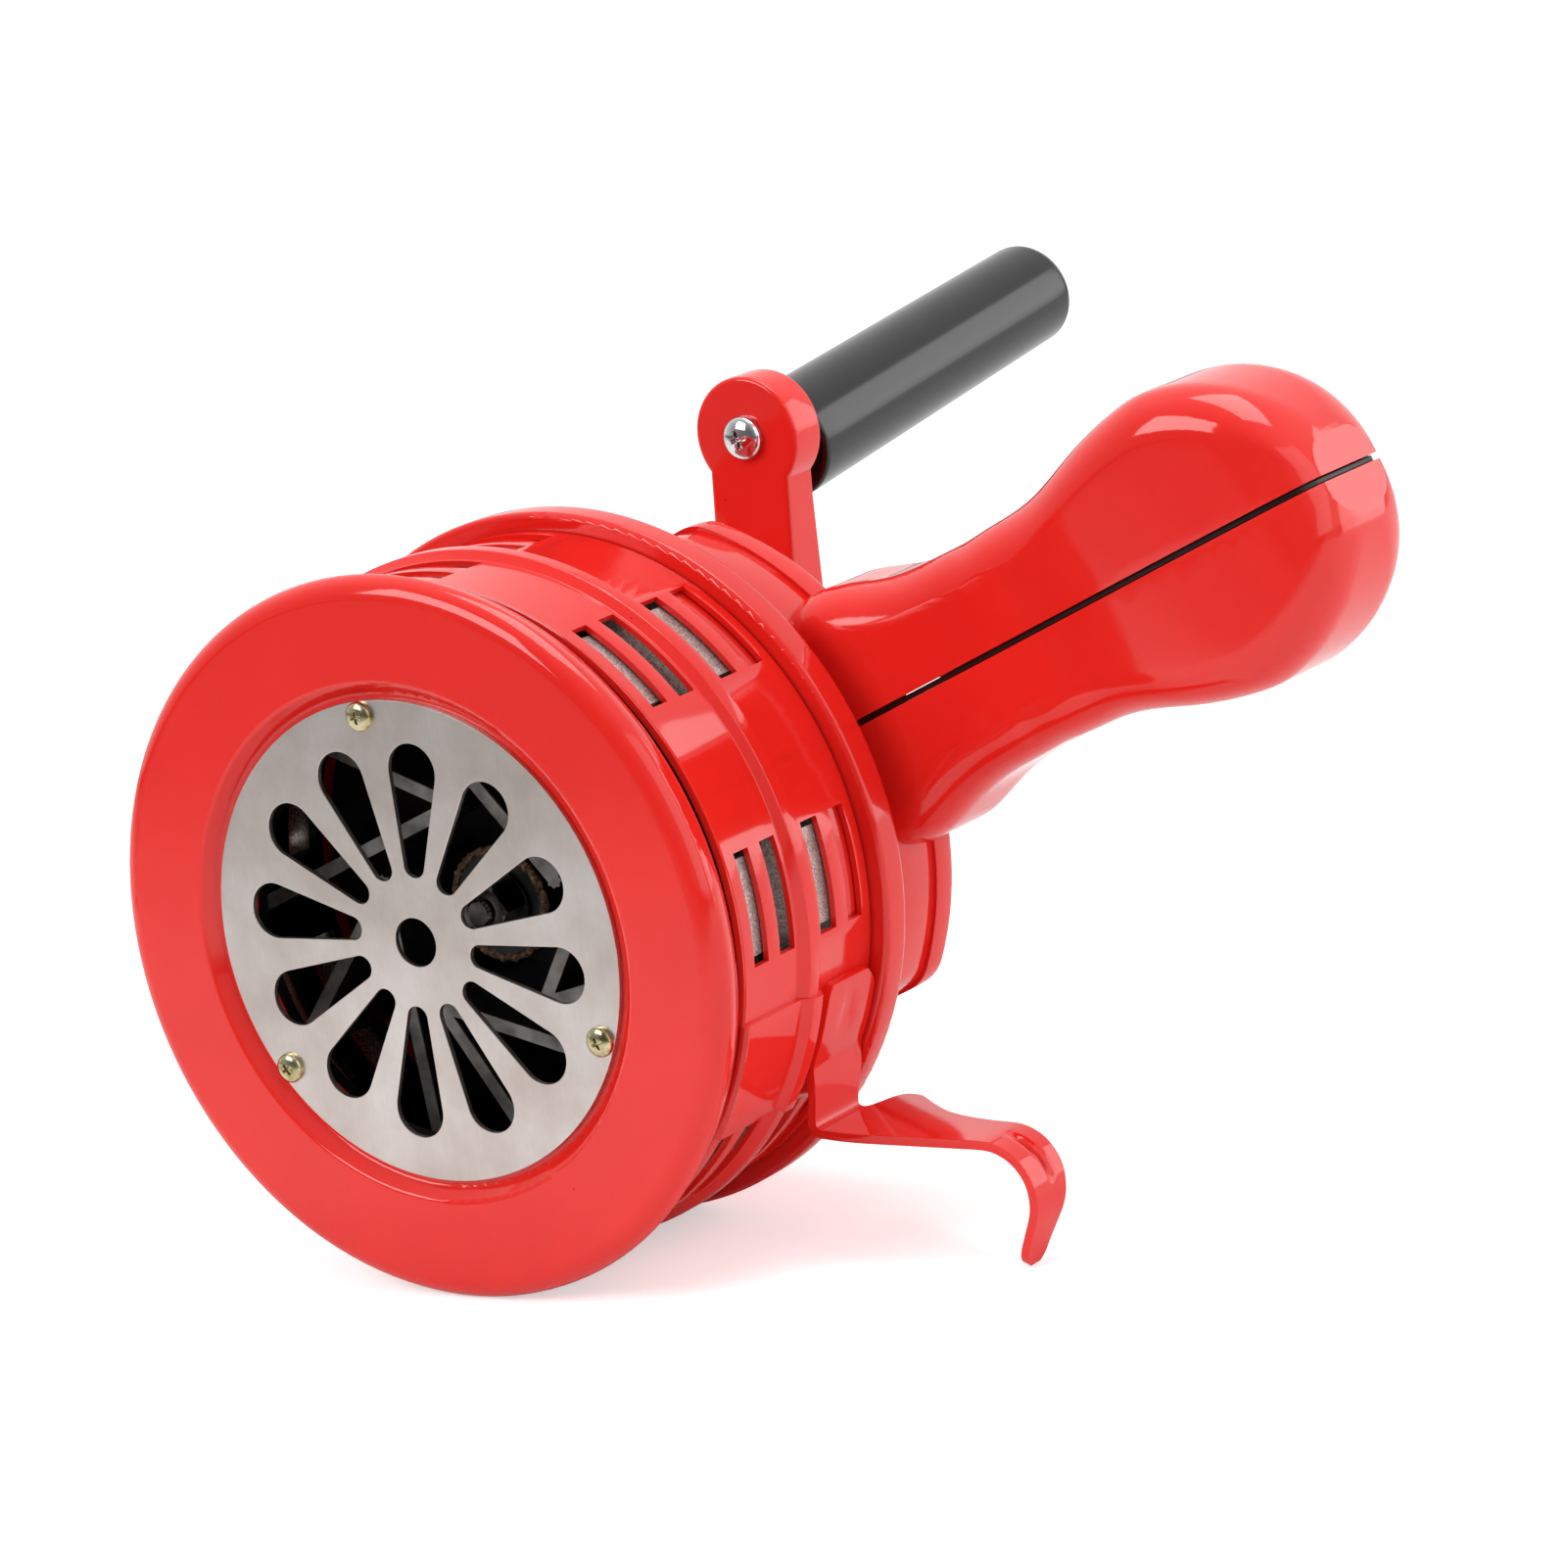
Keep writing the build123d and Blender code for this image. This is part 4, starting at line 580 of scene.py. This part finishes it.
middle = cross_head_screw(2.73, 2.0, 1.5, 13.9, 1.5, 0.7, 1.0)
for count, (along, aside, cross_turn) in enumerate(COVER_SCREWS, 1):
    angle = GRIP_TURN + math.degrees(math.atan2(aside, along))
    set_screw(middle, f"cover_screw_{count}", "yellow_zinc", "housing",
              on_circle(math.hypot(along, aside), angle, COVER_FACE_Y), "gearbox_cover_screws",
              cross_turn, rear=True)
for count, (angle, cross_turn) in enumerate(FLANGE_SCREWS, 1):
    set_screw(middle, f"flange_screw_{count}", "yellow_zinc", "housing",
              on_circle(FLANGE_SCREW_R, angle, FLANGE_FACE_Y), "housing_screws", cross_turn, rear=True)
bpy.data.objects.remove(middle)

large = cross_head_screw(3.83, 2.5, 1.9, 9.0, 2.1, 0.95, 1.35)
set_screw(large, "crank_eye_screw", "chrome_screw", "crank",
          on_circle(CRANK_THROW, CRANK_TURN, CRANK_FACE_Y), "knob_screw", 14)
bpy.data.objects.remove(large)


# ---------------------------------------------------------------- black sheet in the handle's seam, as painted shade
# Half depth of the black seam sheet in mm at distances along the handle, just inside the shells' skin.
GRIP_MIDDLE_Y = 72.5
SEAM_SHADE = ((55.7, 13.2), (61, 13.0), (66, 12.8), (72, 12.6), (88, 12.6), (95, 12.8), (103, 13.1),
          (109, 13.5), (115, 13.9), (121, 14.2), (127, 14.3), (132, 14.2), (137, 13.9),
          (141, 13.5), (145, 12.8), (148, 11.8), (149.6, 10.4), (150.6, 8.2))
SEAM_SHADE_T = 0.9


def seam_shade_sheet():
    """Black sheet between the two shells of the handle: painted shade for the dark hollow inside, seen
    as the black line of the seam.
    """
    along = Vector((math.cos(math.radians(GRIP_TURN)), 0, math.sin(math.radians(GRIP_TURN))))
    strip = edge_row(along * SEAM_SHADE[0][0] + Vector((0, GRIP_MIDDLE_Y, 0)), 2 * SEAM_SHADE[0][1])
    for before, now in zip(SEAM_SHADE, SEAM_SHADE[1:]):
        bpy.ops.mesh.extrude_edges_move(
            TRANSFORM_OT_translate={"value": tuple(along * (now[0] - before[0]) * MM)})
        bpy.ops.transform.resize(value=(1, now[1] / before[1], 1),
                                 center_override=(0, GRIP_MIDDLE_Y * MM, 0))
    seal(strip)
    apply_modifier(strip, "SOLIDIFY", thickness=SEAM_SHADE_T * MM, offset=0.0)
    apply_modifier(strip, "BEVEL", width=0.15 * MM, segments=2, limit_method="ANGLE",
                   angle_limit=math.radians(50))
    seal(strip, 40)
    return hand_over(strip, "seam_shade_sheet", "black_cast", "housing")


seam_shade_sheet()


# ---------------------------------------------------------------- dried grease on the hub
GREASE_R = 9.0
GREASE_Y = 24.35
GREASE_T = 1.5


def grease_ring():
    """Crumbly collar of grease thrown out round the front of the rotor's hub."""
    put_down()
    bpy.ops.mesh.primitive_torus_add(major_radius=GREASE_R * MM, minor_radius=GREASE_T / 2 * MM,
                                     major_segments=120, minor_segments=12,
                                     location=(0, GREASE_Y * MM, 0), rotation=(math.pi / 2, 0, 0))
    ring = bpy.context.object
    bpy.ops.object.transform_apply(location=True, rotation=True, scale=True)
    crumbs = bpy.data.textures.new("grease_crumbs", "CLOUDS")
    crumbs.noise_scale = 0.9 * MM
    crumbs.noise_depth = 2
    apply_modifier(ring, "SUBSURF", levels=1, render_levels=1)
    apply_modifier(ring, "DISPLACE", texture=crumbs, strength=1.1 * MM, mid_level=0.5,
                   texture_coords="LOCAL")
    seal(ring, 60)
    return hand_over(ring, "hub_grease", "black_cast", "rotor", finish=GREASE)


grease_ring()


# ---------------------------------------------------------------- floor, sky, lamps and camera
def paper_floor():
    """White paper under the drum: it takes the light, and a little that only the camera sees
    keeps it white under a plain light while it still holds the soft shadow. For every ray but
    the camera's its colour falls to grey towards the front, so that gloss shows a darker
    foreground."""
    put_down()
    bpy.ops.mesh.primitive_plane_add(size=12.0, location=(0, 0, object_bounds()[0][2]))
    floor = bpy.context.object
    bpy.ops.object.transform_apply(location=True)
    floor.name = "studio_floor"
    made = bpy.data.materials.new("white_paper")
    made.use_nodes = True
    tree = made.node_tree
    tree.nodes.clear()
    ray = add(tree, "ShaderNodeLightPath", -600, 300)
    at = add(tree, "ShaderNodeTexCoord", -1400, 0)
    place = add(tree, "ShaderNodeSeparateXYZ", -1200, 0, Vector=(at, "Object"))
    away = add(tree, "ShaderNodeMapRange", -1000, 0, Value=(place, "Y"), From_Min=-0.6, From_Max=-0.1)
    fall = add(tree, "ShaderNodeValToRGB", -750, 0, Fac=(away, "Result"),
               stops=[(0.0, grey(0.2)), (0.55, grey(0.34)), (0.86, grey(0.85)), (1.0, grey(0.9))])
    tone = add(tree, "ShaderNodeMix", -300, 0, {"data_type": "RGBA"}, Factor=(ray, "Is Camera Ray"))
    tree.links.new(fall.outputs["Color"], tone.inputs[6])
    tone.inputs[7].default_value = grey(0.9)
    paper = add(tree, "ShaderNodeBsdfDiffuse", 0, 0, Color=(tone, 2))
    part = add(tree, "ShaderNodeMath", -300, -200, {"operation": "MULTIPLY"},
               i0=(ray, "Is Camera Ray"), i1=0.5)
    lift = add(tree, "ShaderNodeEmission", 0, -200, Color=grey(1.0), Strength=(part, "Value"))
    both = add(tree, "ShaderNodeAddShader", 300, 0, i0=(paper, "BSDF"), i1=(lift, "Emission"))
    add(tree, "ShaderNodeOutputMaterial", 600, 0, Surface=(both, "Shader"))
    floor.data.materials.append(made)


def studio_sky():
    """Three plain skies: white behind the object, a tent that is darker towards the front for
    what gloss shows, and an even soft level for the light itself."""
    world = bpy.data.worlds.new("studio")
    bpy.context.scene.world = world
    world.use_nodes = True
    tree = world.node_tree
    tree.nodes.clear()
    ray = add(tree, "ShaderNodeLightPath", -700, 400)
    way = add(tree, "ShaderNodeTexCoord", -1100, 0)
    side = add(tree, "ShaderNodeSeparateXYZ", -900, 0, Vector=(way, "Generated"))
    front = add(tree, "ShaderNodeMapRange", -700, 0, Value=(side, "Y"), From_Min=-0.95, From_Max=0.1)
    tent = add(tree, "ShaderNodeValToRGB", -450, 0, Fac=(front, "Result"),
               stops=[(0.0, grey(0.16)), (1.0, grey(1.0))])
    seen = add(tree, "ShaderNodeBackground", 0, 300, Color=grey(1.0), Strength=1.0)
    mirrored = add(tree, "ShaderNodeBackground", 0, 100, Color=(tent, "Color"), Strength=1.0)
    soft = add(tree, "ShaderNodeBackground", 0, -100, Color=grey(1.0), Strength=0.55)
    gloss = add(tree, "ShaderNodeMixShader", 250, 0, i0=(ray, "Is Glossy Ray"), i1=(soft, "Background"),
                i2=(mirrored, "Background"))
    camera = add(tree, "ShaderNodeMixShader", 500, 0, i0=(ray, "Is Camera Ray"), i1=(gloss, "Shader"),
                 i2=(seen, "Background"))
    add(tree, "ShaderNodeOutputWorld", 750, 0, Surface=(camera, "Shader"))


def softbox(name, place, target, size, power):
    """Area lamp at a place, turned to a target; sizes in metres, power in watts."""
    lamp = bpy.data.lights.new(name, "AREA")
    lamp.shape = "RECTANGLE"
    lamp.size, lamp.size_y = size
    lamp.energy = power
    holder = bpy.data.objects.new(name, lamp)
    bpy.context.scene.collection.objects.link(holder)
    holder.location = place
    holder.rotation_euler = (Vector(target) - Vector(place)).to_track_quat("-Z", "Y").to_euler()


paper_floor()
studio_sky()
softbox("key_box", (-0.45, -0.95, 0.75), (0.03, 0.04, 0.0), (0.7, 0.7), 8.5)
softbox("top_box", (0.15, 0.25, 1.1), (0.03, 0.05, 0.0), (0.8, 0.6), 6)
softbox("side_box", (1.15, -0.1, 0.5), (0.05, 0.05, 0.0), (1.0, 1.0), 3)
softbox("rear_box", (0.95, 0.95, 0.3), (0.05, 0.08, 0.0), (0.9, 0.9), 5)

# The photograph's view, solved from the ellipses of the drum's rims and the grille.
CAMERA_AT = (0.573093, -0.679255, 0.212306)
CAMERA_TURN = (77.468, 8.063, 34.320)
LENS_MM = 131.21
photo_camera = bpy.data.cameras.new("photo_camera")
photo_camera.lens = LENS_MM
photo_camera.sensor_width = 36.0
photo_camera.sensor_fit = "HORIZONTAL"
photo_camera.clip_start = 0.05
camera = bpy.data.objects.new("photo_camera", photo_camera)
bpy.context.scene.collection.objects.link(camera)
camera.location = CAMERA_AT
camera.rotation_euler = [math.radians(a) for a in CAMERA_TURN]
bpy.context.scene.camera = camera
bpy.context.scene.view_settings.view_transform = "Standard"
